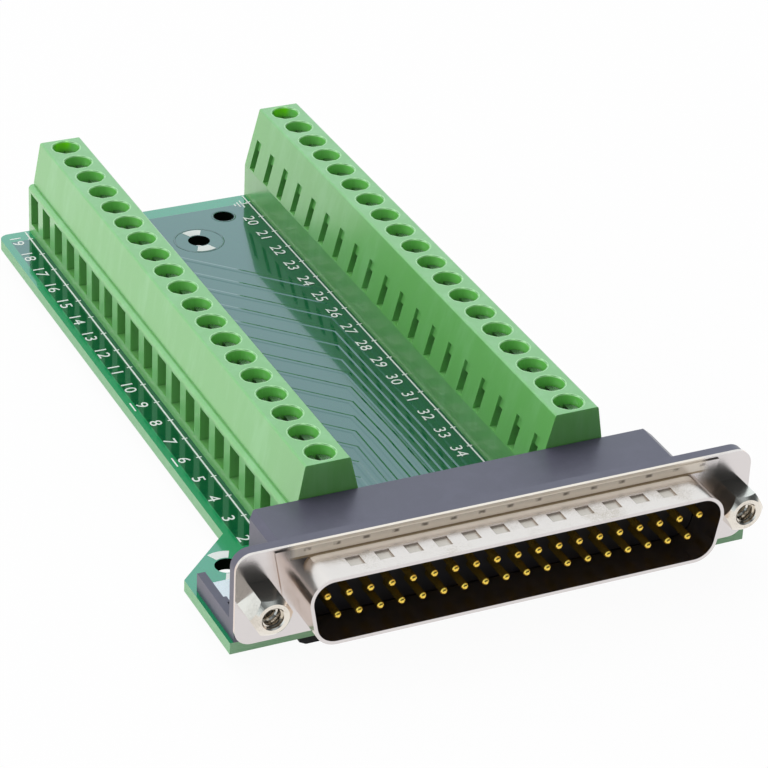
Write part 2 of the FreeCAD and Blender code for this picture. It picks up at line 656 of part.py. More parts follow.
def make_insulator():
    body = new_body("contact_insulator")
    block = new_sketch(body, "XZ_Plane", "insulator_front")
    dee_outline(block, "(0 - insulator_gap)")
    pad(body, block, f"insulator_front + {socket_end}", back=True)
    round_dee(body, "0 - insulator_gap", "dee_round - insulator_gap")
    core = new_sketch(body, "XZ_Plane", f"-{socket_end}")
    core_outline(core, "0")
    pad(body, core, f"{core_end} - {socket_end}", back=True)
    for contacts, height in (("upper_contacts", upper_row), ("lower_contacts", lower_row)):
        hole = new_sketch(body, "XZ_Plane", "insulator_front")
        first_pin = f"(-({contacts} - 1) / 2 * contact_pitch)"
        half_hole = "(lead_width / 2 + pin_gap)"
        box_outline(hole, f"{first_pin} - {half_hole}", f"{height} - {half_hole}",
                    f"{first_pin} + {half_hole}", f"{height} + {half_hole}")
        drilled = pocket(body, hole, f"insulator_front + {core_end}")
        repeat(body, [drilled], "X_Axis", "contact_pitch", contacts)
    return body


# One row of contacts: a round pin in front, a square lead behind that turns down through the board.
def make_contacts(label, contacts, height, lead_reach):
    body = new_body(label)
    start = f"(-({contacts} - 1) / 2 * contact_pitch)"
    pin = new_sketch(body, "XZ_Plane", "pin_reach")
    polygon(pin, start, height, "pin_width", "pin_sides", inside=True)
    pad(body, pin, "pin_reach - insulator_front", back=True)
    tip = -value("pin_reach")
    front = [f"Edge{n}" for n, edge in enumerate(body.Tip.Shape.Edges, start=1)
             if abs(edge.BoundBox.YMax - tip) < 0.001]
    bevel_edges(body, front, "pin_bevel")
    lead = new_sketch(body, "YZ_Plane", start)
    half = "lead_width / 2"
    outline(lead, [
        ("-insulator_front", f"{height} - {half}"), (f"{lead_reach} - {half}", f"{height} - {half}"),
        (f"{lead_reach} - {half}", "-board_thick - tail_stickout"),
        (f"{lead_reach} + {half}", "-board_thick - tail_stickout"),
        (f"{lead_reach} + {half}", f"{height} + {half}"),
        ("-insulator_front", f"{height} + {half}"),
    ])
    pad(body, lead, "lead_width", both=True)
    outer = (value(f"{lead_reach} + {half}"), value(f"{height} + {half}"))
    bevel_edges(body, edges_along(body.Tip.Shape, along_x, lambda p: math.dist((p.y, p.z), outer) < 0.01),
                "lead_bend")
    repeat(body, None, "X_Axis", "contact_pitch", contacts)
    return body


# A hexagonal standoff with a threaded hole in front and a stud that goes through flange, plate and lock.
def make_jackscrew(label, side):
    body = new_body(label, (side + half_screw_span, "0", "axis_height"))
    hexagon = new_sketch(body, "XZ_Plane")
    corner_reach = "(hex_width / 2 / cos(30 deg))"
    outline(hexagon, [(f"{corner_reach} * cos({angle} deg)", f"{corner_reach} * sin({angle} deg)")
                      for angle in range(0, 360, 60)])
    pad(body, hexagon, "hex_length")
    front = -value("hex_length")
    bevel_edges(body, [f"Edge{n}" for n, edge in enumerate(body.Tip.Shape.Edges, start=1)
                       if abs(edge.BoundBox.YMax - front) < 0.001], "hex_bevel")
    stud = new_sketch(body, "XZ_Plane")
    polygon(stud, "0", "0", "stud_width", "stud_sides", inside=True)
    pad(body, stud, "stud_length", back=True)
    bore = new_sketch(body, "XZ_Plane", "hex_length")
    ring(bore, "0", "0", "thread_bore")
    pocket(body, bore, "thread_depth")
    return body


# A board lock: a bent strap on the bracket's floor, held by the jackscrew, with two prongs through the board.
def make_board_lock(label, side):
    body = new_body(label, (side + half_screw_span, "0", "0"))
    strap = new_sketch(body, "YZ_Plane")
    outline(strap, [
        (plate_back, "bracket_floor"), (strap_reach, "bracket_floor"),
        (strap_reach, "bracket_floor + strap_thick"),
        (f"{plate_back} + strap_thick", "bracket_floor + strap_thick"),
        (f"{plate_back} + strap_thick", "axis_height + strap_rise"), (plate_back, "axis_height + strap_rise"),
    ])
    pad(body, strap, "strap_width", both=True)
    stud_hole = new_sketch(body, "XZ_Plane", f"-{plate_back}")
    polygon(stud_hole, "0", "axis_height", "stud_width + 2 * stud_gap", "stud_sides")
    pocket(body, stud_hole, "strap_thick")
    prongs = new_sketch(body, "XY_Plane", "bracket_floor")
    for offset in ("- prong_spread / 2", "+ prong_spread / 2"):
        box_outline(prongs, "-prong_width / 2", f"lock_reach {offset} - strap_thick / 2",
                    "prong_width / 2", f"lock_reach {offset} + strap_thick / 2")
    pad(body, prongs, "bracket_floor + board_thick + prong_stickout", back=True)
    return body


def make_foot(label, side, front):
    body = new_body(label)
    front_start = "(near_lead_reach - foot_lead_gap - foot_side)"
    near = front_start if front else f"({board_back} - foot_margin - foot_side)"
    outer = f"{side}({half_board} - foot_inset)"
    inner = f"{side}({half_board} - foot_inset - foot_side)"
    plan = new_sketch(body, "XY_Plane", "-board_thick")
    box_outline(plan, outer, near, inner, f"{near} + foot_side")
    pad(body, plan, "foot_height", back=True)
    bevel_edges(body, edges_along(body.Tip.Shape, along_z, lambda p: True), "foot_bevel")
    return body


pieces = [make_board()]
for row_name, side in (("left", "-"), ("right", "")):
    pieces += [
        make_housing(f"{row_name}_terminal_housing", side),
        make_cages(f"{row_name}_clamp_cages", side),
        make_contact_bars(f"{row_name}_contact_bars", side),
        make_jackscrew(f"{row_name}_jackscrew", side),
        make_board_lock(f"{row_name}_board_lock", side),
        make_foot(f"front_{row_name}_foot", side, True),
        make_foot(f"rear_{row_name}_foot", side, False),
    ]
pieces += [
    make_shell(),
    make_connector_housing(),
    make_insulator(),
    make_contacts("upper_contact_pins", "upper_contacts", upper_row, far_lead_reach),
    make_contacts("lower_contact_pins", "lower_contacts", lower_row, "near_lead_reach"),
]
# Terminals 1, 2, ... run from the front on the left; the right row goes on from the back, after the ground.
ways = int(value("way_count"))
for way in range(ways):
    pieces.append(make_terminal_screw(f"terminal_screw_{way + 1:02d}", "-", way))
pieces.append(make_terminal_screw("terminal_screw_ground", "", ways - 1))
for way in range(ways - 1):
    pieces.append(make_terminal_screw(f"terminal_screw_{ways + 1 + way:02d}", "", ways - 2 - way))

doc.recompute()
for obj in doc.Objects:
    if "Invalid" in obj.State or "Error" in obj.State:
        raise ValueError(f"{obj.Label} failed: {obj.State}")
for piece in pieces:
    if piece.Shape.isNull() or not piece.Shape.isValid() or not piece.Shape.Solids:
        raise ValueError(f"{piece.Label} has no valid solid")

os.makedirs("parts", exist_ok=True)
for piece in pieces:
    piece.Shape.exportStep(os.path.join("parts", piece.Label + ".step"))
print(len(pieces), "pieces,", sum(len(piece.Shape.Solids) for piece in pieces), "solids")
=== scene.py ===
import math

import bmesh
import bpy
from mathutils import Matrix, Vector


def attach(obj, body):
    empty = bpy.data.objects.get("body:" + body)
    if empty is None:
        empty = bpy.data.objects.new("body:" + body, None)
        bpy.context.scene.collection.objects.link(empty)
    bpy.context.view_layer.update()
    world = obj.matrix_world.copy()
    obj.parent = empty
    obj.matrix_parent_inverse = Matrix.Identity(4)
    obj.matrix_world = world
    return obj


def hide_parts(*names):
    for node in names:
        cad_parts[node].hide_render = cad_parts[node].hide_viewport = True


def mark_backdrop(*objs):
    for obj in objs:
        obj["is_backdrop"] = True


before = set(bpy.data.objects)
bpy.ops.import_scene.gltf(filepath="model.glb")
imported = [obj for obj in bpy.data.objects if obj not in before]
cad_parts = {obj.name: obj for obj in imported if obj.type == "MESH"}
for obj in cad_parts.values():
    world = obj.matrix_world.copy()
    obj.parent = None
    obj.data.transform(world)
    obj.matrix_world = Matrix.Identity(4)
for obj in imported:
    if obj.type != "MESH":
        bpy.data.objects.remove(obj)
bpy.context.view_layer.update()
print("frame loaded:", len(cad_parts), "nodes")

# Sizes are in millimetres: across from the connector's middle, along from its flange towards the back,
# and up from the top of the board. They are turned to metres here and nowhere else.
plan = {"middleReach": 51.3, "standingHeight": 3.7, "firstWay": 16.0, "wayPitch": 5.0, "wayCount": 19,
        "wellRow": 17.05}
holes = {"rearMiddle": (0.0, 97.1), "rearSide": (6.3, 103.05), "leftEar": (-28.9, 16.1),
         "rightEar": (28.9, 16.1)}
# a row's number of contacts, their height and the reach of their leads
contactRows = {"upper": (19, 7.32, 10.84), "lower": (18, 4.48, 8.0)}


def spot(across, along, up):
    return Vector((across, along - plan["middleReach"], up + plan["standingHeight"])) / 1000


def wayAlong(way):
    return plan["firstWay"] + plan["wayPitch"] * way


wayStep = Vector((0, plan["wayPitch"] / 1000, 0))


# ---- Colours and node helpers


def tone(red, green, blue):
    def linear(level):
        level /= 255
        return level / 12.92 if level <= 0.04045 else ((level + 0.055) / 1.055) ** 2.4
    return (linear(red), linear(green), linear(blue), 1.0)


def put(tree, kind, values=None, **settings):
    node = tree.nodes.new(kind)
    for name, setting in settings.items():
        setattr(node, name, setting)
    for socket, given in (values or {}).items():
        if isinstance(given, bpy.types.NodeSocket):
            tree.links.new(given, node.inputs[socket])
        else:
            node.inputs[socket].default_value = given
    return node


def calc(tree, operation, first, second=0.0, third=0.0, clamp=False):
    values = {0: first, 1: second}
    if operation in ("MULTIPLY_ADD", "COMPARE"):
        values[2] = third
    return put(tree, "ShaderNodeMath", values, operation=operation, use_clamp=clamp).outputs[0]


def times(tree, *levels):
    product = levels[0]
    for level in levels[1:]:
        product = calc(tree, "MULTIPLY", product, level)
    return product


# How far a level is from a middle.
def gapTo(tree, level, middle):
    return calc(tree, "ABSOLUTE", calc(tree, "SUBTRACT", level, middle))


# Rises smoothly from 0 to 1.
def ramp(tree, level, low, high):
    span = put(tree, "ShaderNodeMapRange", {"Value": level, "From Min": low, "From Max": high})
    span.interpolation_type = "SMOOTHSTEP"
    return span.outputs[0]


# Falls smoothly from 1 to 0.
def fade(tree, level, low, high):
    return calc(tree, "SUBTRACT", 1.0, ramp(tree, level, low, high))


# 1 between two places in millimetres, 0 outside them.
def between(tree, level, low, high):
    above = calc(tree, "GREATER_THAN", level, low / 1000)
    return times(tree, above, calc(tree, "LESS_THAN", level, high / 1000))


def paint(tree, share, first, second):
    return put(tree, "ShaderNodeMix", {0: share, 6: first, 7: second}, data_type="RGBA").outputs[2]


def axesOf(tree, kind="Object"):
    return put(tree, "ShaderNodeSeparateXYZ", {0: put(tree, "ShaderNodeTexCoord").outputs[kind]}).outputs


def noise(tree, position, scale, detail=2.0, roughness=0.5):
    return put(tree, "ShaderNodeTexNoise", {"Vector": position, "Scale": scale, "Detail": detail,
                                            "Roughness": roughness}).outputs["Fac"]


skinTakes = {"Position": "Vector", "Color": "Color", "Second Color": "Color", "Second Share": "Float",
             "Grain Scale": "Float", "Roughness": "Float", "Spread": "Float"}
skinGives = {"Color": "Color", "Roughness": "Float", "Height": "Float"}


def newShaderGroup(name):
    group = bpy.data.node_groups.new(name, "ShaderNodeTree")
    for label, kind in skinTakes.items():
        group.interface.new_socket(name=label, in_out="INPUT", socket_type="NodeSocket" + kind)
    for label, kind in skinGives.items():
        group.interface.new_socket(name=label, in_out="OUTPUT", socket_type="NodeSocket" + kind)
    return group, group.nodes.new("NodeGroupInput").outputs, group.nodes.new("NodeGroupOutput").inputs


# The roughness of a shared finish swings round its middle.
def giveRoughness(group, takes, gives, swing, middle):
    swing = calc(group, "SUBTRACT", swing, middle)
    rough = calc(group, "MULTIPLY_ADD", swing, takes["Spread"], takes["Roughness"])
    group.links.new(rough, gives["Roughness"])


mouldedLook = {"streakStretch": (330, 330, 45), "streakDetail": 4.0, "streakRough": 0.62, "streakLow": 0.42,
               "streakHigh": 0.72, "cloudScale": 85.0, "cloudShare": 0.5, "grainShare": 0.6, "middle": 0.8}


def makeMouldedGrain():
    look = mouldedLook
    group, takes, gives = newShaderGroup("mouldedGrain")
    tall = put(group, "ShaderNodeMapping", {"Vector": takes["Position"], "Scale": look["streakStretch"]})
    streak = noise(group, tall.outputs[0], 1.0, look["streakDetail"], look["streakRough"])
    streak = ramp(group, streak, look["streakLow"], look["streakHigh"])
    cloud = noise(group, takes["Position"], look["cloudScale"], 3.0)
    grain = noise(group, takes["Position"], takes["Grain Scale"])
    share = calc(group, "MULTIPLY_ADD", cloud, look["cloudShare"], streak)
    share = calc(group, "MULTIPLY", share, takes["Second Share"], clamp=True)
    group.links.new(paint(group, share, takes["Color"], takes["Second Color"]), gives["Color"])
    swing = calc(group, "MULTIPLY_ADD", grain, look["grainShare"], cloud)
    giveRoughness(group, takes, gives, swing, look["middle"])
    group.links.new(calc(group, "MULTIPLY_ADD", cloud, look["grainShare"], grain), gives["Height"])
    return group


platedLook = {"cloudScale": 140.0, "cloudDetail": 5.0, "speckShare": 0.45, "stainLow": 0.72,
              "stainHigh": 0.98, "roughShare": 0.7, "middle": 0.85}


def makePlatedSkin():
    look = platedLook
    group, takes, gives = newShaderGroup("platedSkin")
    cloud = noise(group, takes["Position"], look["cloudScale"], look["cloudDetail"], 0.6)
    speck = noise(group, takes["Position"], takes["Grain Scale"], 3.0, 0.6)
    stain = calc(group, "MULTIPLY_ADD", speck, look["speckShare"], cloud)
    stain = ramp(group, stain, look["stainLow"], look["stainHigh"])
    share = calc(group, "MULTIPLY", stain, takes["Second Share"], clamp=True)
    group.links.new(paint(group, share, takes["Color"], takes["Second Color"]), gives["Color"])
    swing = calc(group, "MULTIPLY_ADD", speck, look["roughShare"], cloud)
    giveRoughness(group, takes, gives, swing, look["middle"])
    group.links.new(speck, gives["Height"])
    return group


groups = {"mouldedGrain": makeMouldedGrain(), "platedSkin": makePlatedSkin()}


def newMaterial(name):
    material = bpy.data.materials.new(name)
    material.use_nodes = True
    tree = material.node_tree
    tree.nodes.clear()
    shader = put(tree, "ShaderNodeBsdfPrincipled")
    leave = put(tree, "ShaderNodeOutputMaterial")
    tree.links.new(shader.outputs[0], leave.inputs["Surface"])
    position = put(tree, "ShaderNodeTexCoord").outputs["Object"]
    return material, tree, shader, position


def addBump(tree, shader, height, strength, distance):
    bump = put(tree, "ShaderNodeBump", {"Height": height, "Strength": strength, "Distance": distance})
    tree.links.new(bump.outputs[0], shader.inputs["Normal"])


# A finish made with one of the two shared groups. Its values are the colour, the second colour and its share,
# the scale of the grain, the roughness and its spread. A bump has a strength and a distance.
def groupMaterial(name, groupName, values, bump, plain):
    material, tree, shader, position = newMaterial(name)
    skin = put(tree, "ShaderNodeGroup", node_tree=groups[groupName])
    tree.links.new(position, skin.inputs["Position"])
    for number, given in enumerate(values, start=1):
        skin.inputs[number].default_value = given
    tree.links.new(skin.outputs["Color"], shader.inputs["Base Color"])
    tree.links.new(skin.outputs["Roughness"], shader.inputs["Roughness"])
    addBump(tree, shader, skin.outputs["Height"], *bump)
    for socket, given in plain.items():
        shader.inputs[socket].default_value = given
    return material


# ---- Finishes

greenPlastic = groupMaterial(
    "greenPlastic", "mouldedGrain",
    (tone(102, 176, 88), tone(134, 198, 134), 0.32, 3800.0, 0.38, 0.14),
    (0.12, 0.00003),
    {"Subsurface Weight": 0.18, "Subsurface Radius": (0.6, 1.0, 0.4), "Subsurface Scale": 0.0008,
     "Specular IOR Level": 0.8, "Coat Weight": 0.8, "Coat IOR": 1.62, "Coat Roughness": 0.2})
# the linings of the screw wells are a brighter green copy of the plastic, painted light for what comes
# through their thin walls
wellLitPlastic = groupMaterial(
    "wellLitPlastic", "mouldedGrain",
    (tone(112, 206, 90), tone(136, 220, 118), 0.3, 3800.0, 0.34, 0.12),
    (0.1, 0.00003), {"Specular IOR Level": 0.7, "Coat Weight": 0.6, "Coat Roughness": 0.15})
blackPlastic = groupMaterial(
    "blackPlastic", "mouldedGrain",
    (tone(62, 56, 77), tone(80, 74, 97), 0.3, 5200.0, 0.52, 0.14),
    (0.2, 0.00003), {"Specular IOR Level": 0.7, "Coat Weight": 0.55, "Coat IOR": 1.55, "Coat Roughness": 0.3})
insulatorPlastic = groupMaterial(
    "insulatorPlastic", "mouldedGrain",
    (tone(20, 20, 24), tone(28, 30, 44), 0.4, 4200.0, 0.55, 0.16),
    (0.14, 0.00003), {"Specular IOR Level": 0.25})
rubber = groupMaterial(
    "rubber", "mouldedGrain",
    (tone(22, 22, 22), tone(38, 38, 38), 0.3, 2600.0, 0.75, 0.12),
    (0.3, 0.00005), {"Specular IOR Level": 0.3})
shellMetal = groupMaterial(
    "shellMetal", "platedSkin",
    (tone(233, 218, 208), tone(168, 146, 118), 0.45, 5200.0, 0.22, 0.12),
    (0.3, 0.00002), {"Metallic": 1.0})
jackscrewMetal = groupMaterial(
    "jackscrewMetal", "platedSkin",
    (tone(232, 225, 214), tone(130, 116, 100), 0.3, 7000.0, 0.17, 0.1),
    (0.08, 0.00002), {"Metallic": 1.0})
goldPlate = groupMaterial(
    "goldPlate", "platedSkin",
    (tone(244, 208, 92), tone(190, 130, 40), 0.3, 6000.0, 0.17, 0.1),
    (0.06, 0.00001), {"Metallic": 0.95})
tinPlate = groupMaterial(
    "tinPlate", "platedSkin",
    (tone(226, 226, 228), tone(150, 148, 145), 0.35, 4200.0, 0.28, 0.14),
    (0.1, 0.00002), {"Metallic": 1.0})
clampSteel = groupMaterial(
    "clampSteel", "platedSkin",
    (tone(196, 196, 188), tone(120, 112, 92), 0.5, 3600.0, 0.34, 0.18),
    (0.14, 0.00002), {"Metallic": 1.0})
screwSteel = groupMaterial(
    "screwSteel", "platedSkin",
    (tone(188, 194, 192), tone(110, 112, 108), 0.45, 4400.0, 0.27, 0.16),
    (0.12, 0.00002), {"Metallic": 1.0})
solderMetal = groupMaterial(
    "solderMetal", "platedSkin",
    (tone(214, 216, 220), tone(140, 138, 132), 0.4, 2800.0, 0.2, 0.16),
    (0.1, 0.00003), {"Metallic": 1.0})
whiteInk = groupMaterial(
    "whiteInk", "mouldedGrain",
    (tone(236, 238, 238), tone(205, 214, 212), 0.35, 5000.0, 0.5, 0.1),
    (0.12, 0.00001), {"Specular IOR Level": 0.4})

# Heights here and in wellLook are in millimetres above the ground, and places are from the part's middle.
frontShadeLook = {"shade": tone(216, 213, 214), "share": 0.8, "low": 0.6, "high": 0.9}
dimpleLightLook = {"middle": 9.6, "floor": 4.38, "slack": 0.06, "reach": 23.0, "front": -56.3, "back": -52.5,
              "shade": tone(206, 196, 184), "metal": 0.55}
foldHighlightLook = {"low": 14.1, "high": 15.95, "front": -53.7, "back": -52.0, "reach": 27.0, "fade": 1.6,
            "metal": 0.3, "shade": tone(238, 228, 214), "foot": 14.23, "footHalf": 0.16,
            "footFront": -51.85, "footShade": tone(168, 150, 124)}
dimpleReflectionLook = {"shade": tone(96, 86, 76), "share": 0.8, "height": 15.18, "half": 0.3, "pitch": 3.8,
              "start": 0.9, "low": 0.55, "high": 0.97, "grain": 900.0, "grainLow": 0.3, "grainHigh": 0.55}


# Faces towards the front get a painted neutral shade, the floors of the dimples a duller, less metallic
# painted tone for the light they catch, and the fold above the D a painted highlight band, with a painted
# reflection of each dimple and a painted shade line at its foot.
def shadeShell(material):
    tree = material.node_tree
    shader = tree.nodes["Principled BSDF"]
    axes = axesOf(tree)
    across = calc(tree, "ABSOLUTE", axes[0])
    color = shader.inputs["Base Color"].links[0].from_socket

    # painted shade: faces that face the front are turned a duller neutral grey
    look = frontShadeLook
    level = ramp(tree, calc(tree, "ABSOLUTE", axesOf(tree, "Normal")[1]), look["low"], look["high"])
    color = paint(tree, times(tree, level, look["share"]), color, look["shade"])

    # painted light: the floors of the dimples get a duller, less metallic tone that stands in for the light
    # they catch
    look = dimpleLightLook
    height = gapTo(tree, axes[2], look["middle"] / 1000)
    level = times(tree, calc(tree, "COMPARE", height, look["floor"] / 1000, look["slack"] / 1000),
                  calc(tree, "LESS_THAN", across, look["reach"] / 1000),
                  between(tree, axes[1], look["front"], look["back"]))
    color = paint(tree, level, color, look["shade"])
    dimpleMetal = calc(tree, "MULTIPLY_ADD", level, look["metal"] - 1.0, 1.0)

    # painted reflection: a dark mark per dimple on the fold, where the dimples are mirrored in it
    look = dimpleReflectionLook
    turn = times(tree, calc(tree, "SUBTRACT", axes[0], look["start"] / 1000), 2000 * math.pi / look["pitch"])
    lift = gapTo(tree, axes[2], look["height"] / 1000)
    grain = noise(tree, put(tree, "ShaderNodeTexCoord").outputs["Object"], look["grain"], 3.0)
    mirroredDimples = times(tree, ramp(tree, calc(tree, "COSINE", turn), look["low"], look["high"]),
                   fade(tree, lift, look["half"] / 3000, look["half"] / 1000),
                   ramp(tree, grain, look["grainLow"], look["grainHigh"]))
    shade = paint(tree, times(tree, mirroredDimples, look["share"]), foldHighlightLook["shade"], look["shade"])

    # painted highlight: the fold above the D is a pale, less metallic band standing in for the bright
    # reflection on its rounded face
    look = foldHighlightLook
    level = times(tree, fade(tree, across, look["reach"] / 1000, (look["reach"] + look["fade"]) / 1000),
                  ramp(tree, axes[1], look["front"] / 1000, look["back"] / 1000),
                  between(tree, axes[2], look["low"], look["high"]))
    # painted shade: a darker tan line along the foot of the fold
    foot = times(tree, calc(tree, "COMPARE", axes[2], look["foot"] / 1000, look["footHalf"] / 1000),
                 calc(tree, "GREATER_THAN", axes[1], look["footFront"] / 1000))
    shade = paint(tree, foot, shade, look["footShade"])
    tree.links.new(paint(tree, level, color, shade), shader.inputs["Base Color"])
    foldMetal = calc(tree, "MULTIPLY_ADD", level, look["metal"] - 1.0, 1.0)
    tree.links.new(calc(tree, "MINIMUM", dimpleMetal, foldMetal), shader.inputs["Metallic"])


shadeShell(shellMetal)

wellLook = {"lipBottom": 17.28, "lip": tone(186, 228, 182), "lipHighlightShare": 0.5, "wallStart": 55.2,
            "wallEnd": 56.2, "wallHalf": 1.5, "wallTop": 16.9, "wallBottom": 15.2, "glow": tone(130, 250, 6)}


# The lips of the wells get a painted highlight, and the thin end wall of a row's last well is painted a
# bright green glow for the light that comes through it.
def shadeWells(material):
    look = wellLook
    tree = material.node_tree
    shader = tree.nodes["Principled BSDF"]
    axes = axesOf(tree)
    color = shader.inputs["Base Color"].links[0].from_socket
    aside = gapTo(tree, calc(tree, "ABSOLUTE", axes[0]), plan["wellRow"] / 1000)
    # painted light: the end wall of a row's last well glows bright green as if lit through
    glow = times(tree, fade(tree, aside, look["wallHalf"] / 2000, look["wallHalf"] / 1000),
                 ramp(tree, axes[1], look["wallStart"] / 1000, look["wallEnd"] / 1000),
                 ramp(tree, axes[2], look["wallBottom"] / 1000, look["wallTop"] / 1000))
    color = paint(tree, glow, color, look["glow"])
    # painted highlight: the lips of the wells are turned paler
    lip = times(tree, calc(tree, "GREATER_THAN", axes[2], look["lipBottom"] / 1000), look["lipHighlightShare"])
    tree.links.new(paint(tree, lip, color, look["lip"]), shader.inputs["Base Color"])


shadeWells(wellLitPlastic)

boardLook = {
    "copperWidth": 25.6, "copperFront": 19.4, "copperBack": 106.0, "borderHalf": 0.03,
    "copper": tone(0, 80, 47), "copperPale": tone(4, 96, 58), "copperCloud": 0.7,
    "bare": tone(0, 138, 84), "barePale": tone(12, 156, 96), "bareCloud": 0.8,
    "line": tone(52, 150, 98), "lineStart": 0.04, "lineWidth": 0.14, "lineShare": 0.75,
    "cut": tone(168, 198, 168), "cutDark": tone(116, 172, 126), "layers": (600, 600, 9000),
    "holeShade": tone(12, 20, 12),
    "holeReach": {"rearMiddle": 1.9, "rearSide": 1.8, "leftEar": 1.9, "rightEar": 1.9},
    "cloudScale": 55.0, "speckScale": 2600.0, "speckRough": 0.1, "baseRough": 0.08, "speckBump": 0.15,
    "weavePitch": 0.55, "weaveBump": 0.35, "bump": (0.1, 0.00002),
}
boardGloss = {"Coat Weight": 1.0, "Coat Roughness": 0.05, "Coat IOR": 1.72, "Specular IOR Level": 1.0,
              "Specular Tint": tone(150, 222, 255)}


# The copper's border, the bare rim, the laminate's matt cut edges and the painted shade on the walls of the
# holes.
def paintZones(tree, shader, position, axes, cloud, copper):
    look = boardLook
    side = calc(tree, "SUBTRACT", look["copperWidth"] / 1000, calc(tree, "ABSOLUTE", axes[0]))
    back = calc(tree, "SUBTRACT", (look["copperBack"] - plan["middleReach"]) / 1000, axes[1])
    front = calc(tree, "SUBTRACT", axes[1], (look["copperFront"] - plan["middleReach"]) / 1000)
    inside = calc(tree, "MINIMUM", side, calc(tree, "MINIMUM", back, front))
    bare = paint(tree, times(tree, cloud, look["bareCloud"]), look["bare"], look["barePale"])
    half = look["borderHalf"] / 1000
    color = paint(tree, ramp(tree, inside, -half, half), bare, copper)
    rim = fade(tree, calc(tree, "ABSOLUTE", inside), look["lineStart"] / 1000, look["lineWidth"] / 1000)
    color = paint(tree, times(tree, rim, look["lineShare"]), color, look["line"])
    upright = calc(tree, "LESS_THAN", calc(tree, "ABSOLUTE", axesOf(tree, "Normal")[2]), 0.5)
    layers = put(tree, "ShaderNodeMapping", {"Vector": position, "Scale": look["layers"]}).outputs[0]
    cut = paint(tree, noise(tree, layers, 1.0, 3.0, 0.6), look["cut"], look["cutDark"])
    color = paint(tree, upright, color, cut)
    flat = put(tree, "ShaderNodeCombineXYZ", {0: axes[0], 1: axes[1]}).outputs[0]
    nearest = None
    for hole, reach in look["holeReach"].items():
        across, along = holes[hole]
        centre = (across / 1000, (along - plan["middleReach"]) / 1000, 0.0)
        gap = put(tree, "ShaderNodeVectorMath", {0: flat, 1: centre}, operation="DISTANCE").outputs["Value"]
        gap = calc(tree, "SUBTRACT", gap, reach / 1000)
        nearest = gap if nearest is None else calc(tree, "MINIMUM", nearest, gap)
    # painted shade: the walls of the holes are turned nearly black
    wall = times(tree, upright, calc(tree, "LESS_THAN", nearest, 0.0))
    glossy = calc(tree, "SUBTRACT", 1.0, upright)
    tree.links.new(glossy, shader.inputs["Coat Weight"])
    tree.links.new(glossy, shader.inputs["Specular IOR Level"])
    return paint(tree, wall, color, look["holeShade"])


# The solder mask: darker over the copper and brighter on the bare rim, with the laminate's weave.
def makeBoardMaterial(name, onlyCopper):
    look = boardLook
    material, tree, shader, position = newMaterial(name)
    for socket, given in boardGloss.items():
        shader.inputs[socket].default_value = given
    axes = put(tree, "ShaderNodeSeparateXYZ", {0: position}).outputs
    cloud = noise(tree, position, look["cloudScale"], 3.0)
    speck = noise(tree, position, look["speckScale"])
    color = paint(tree, times(tree, cloud, look["copperCloud"]), look["copper"], look["copperPale"])
    if not onlyCopper:
        color = paintZones(tree, shader, position, axes, cloud, color)
    tree.links.new(color, shader.inputs["Base Color"])
    rough = calc(tree, "MULTIPLY_ADD", speck, look["speckRough"], look["baseRough"])
    tree.links.new(rough, shader.inputs["Roughness"])
    turns = 2 * math.pi / (look["weavePitch"] / 1000)
    warp, weft = (calc(tree, "SINE", times(tree, axis, turns)) for axis in (axes[0], axes[1]))
    weave = calc(tree, "MULTIPLY_ADD", times(tree, warp, weft), look["weaveBump"], cloud)
    addBump(tree, shader, calc(tree, "MULTIPLY_ADD", speck, look["speckBump"], weave), *look["bump"])
    return material


solderMask = makeBoardMaterial("solderMask", False)
trackMask = makeBoardMaterial("trackMask", True)
print("finishes made:", len(bpy.data.materials))


def dress(nodeName, material):
    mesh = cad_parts[nodeName].data
    mesh.materials.clear()
    mesh.materials.append(material)


dress("circuit_board", solderMask)
dress("connector_shell", shellMetal)
dress("connector_housing", blackPlastic)
dress("contact_insulator", insulatorPlastic)
for side in ("left", "right"):
    dress(side + "_terminal_housing", greenPlastic)
    dress(side + "_clamp_cages", clampSteel)
    dress(side + "_contact_bars", tinPlate)
    dress(side + "_board_lock", tinPlate)
    dress(side + "_jackscrew", jackscrewMetal)
    dress("front_" + side + "_foot", rubber)
    dress("rear_" + side + "_foot", rubber)


# ---- Mesh helpers


def newPiece(name, bm, material, smooth=False):
    mesh = bpy.data.meshes.new(name)
    bm.to_mesh(mesh)
    bm.free()
    mesh.materials.append(material)
    mesh.polygons.foreach_set("use_smooth", [smooth] * len(mesh.polygons))
    piece = bpy.data.objects.new(name, mesh)
    bpy.context.scene.collection.objects.link(piece)
    return piece


# Turns an outline of (radius, height) pairs round the Z axis. It closes on the axis where the radius is 0.
def turnProfile(bm, profile, sides, closed=False):
    rings = []
    for radius, height in profile:
        if radius < 1e-9:
            rings.append([bm.verts.new((0, 0, height))])
            continue
        rings.append([bm.verts.new((radius * math.cos(turn), radius * math.sin(turn), height))
                      for turn in (2 * math.pi * i / sides for i in range(sides))])
    pairs = list(zip(rings, rings[1:]))
    if closed:
        pairs.append((rings[-1], rings[0]))
    for low, high in pairs:
        for i in range(sides):
            j = (i + 1) % sides
            if len(low) == 1:
                bm.faces.new((low[0], high[j], high[i]))
            elif len(high) == 1:
                bm.faces.new((low[i], low[j], high[0]))
            else:
                bm.faces.new((low[i], low[j], high[j], high[i]))


def addBlock(bm, low, high):
    corners = [bm.verts.new((x, y, z)) for z in (low[2], high[2]) for y in (low[1], high[1])
               for x in (low[0], high[0])]
    for a, b, c, d in ((0, 2, 3, 1), (4, 5, 7, 6), (0, 1, 5, 4), (2, 6, 7, 3), (0, 4, 6, 2), (1, 3, 7, 5)):
        bm.faces.new((corners[a], corners[b], corners[c], corners[d]))


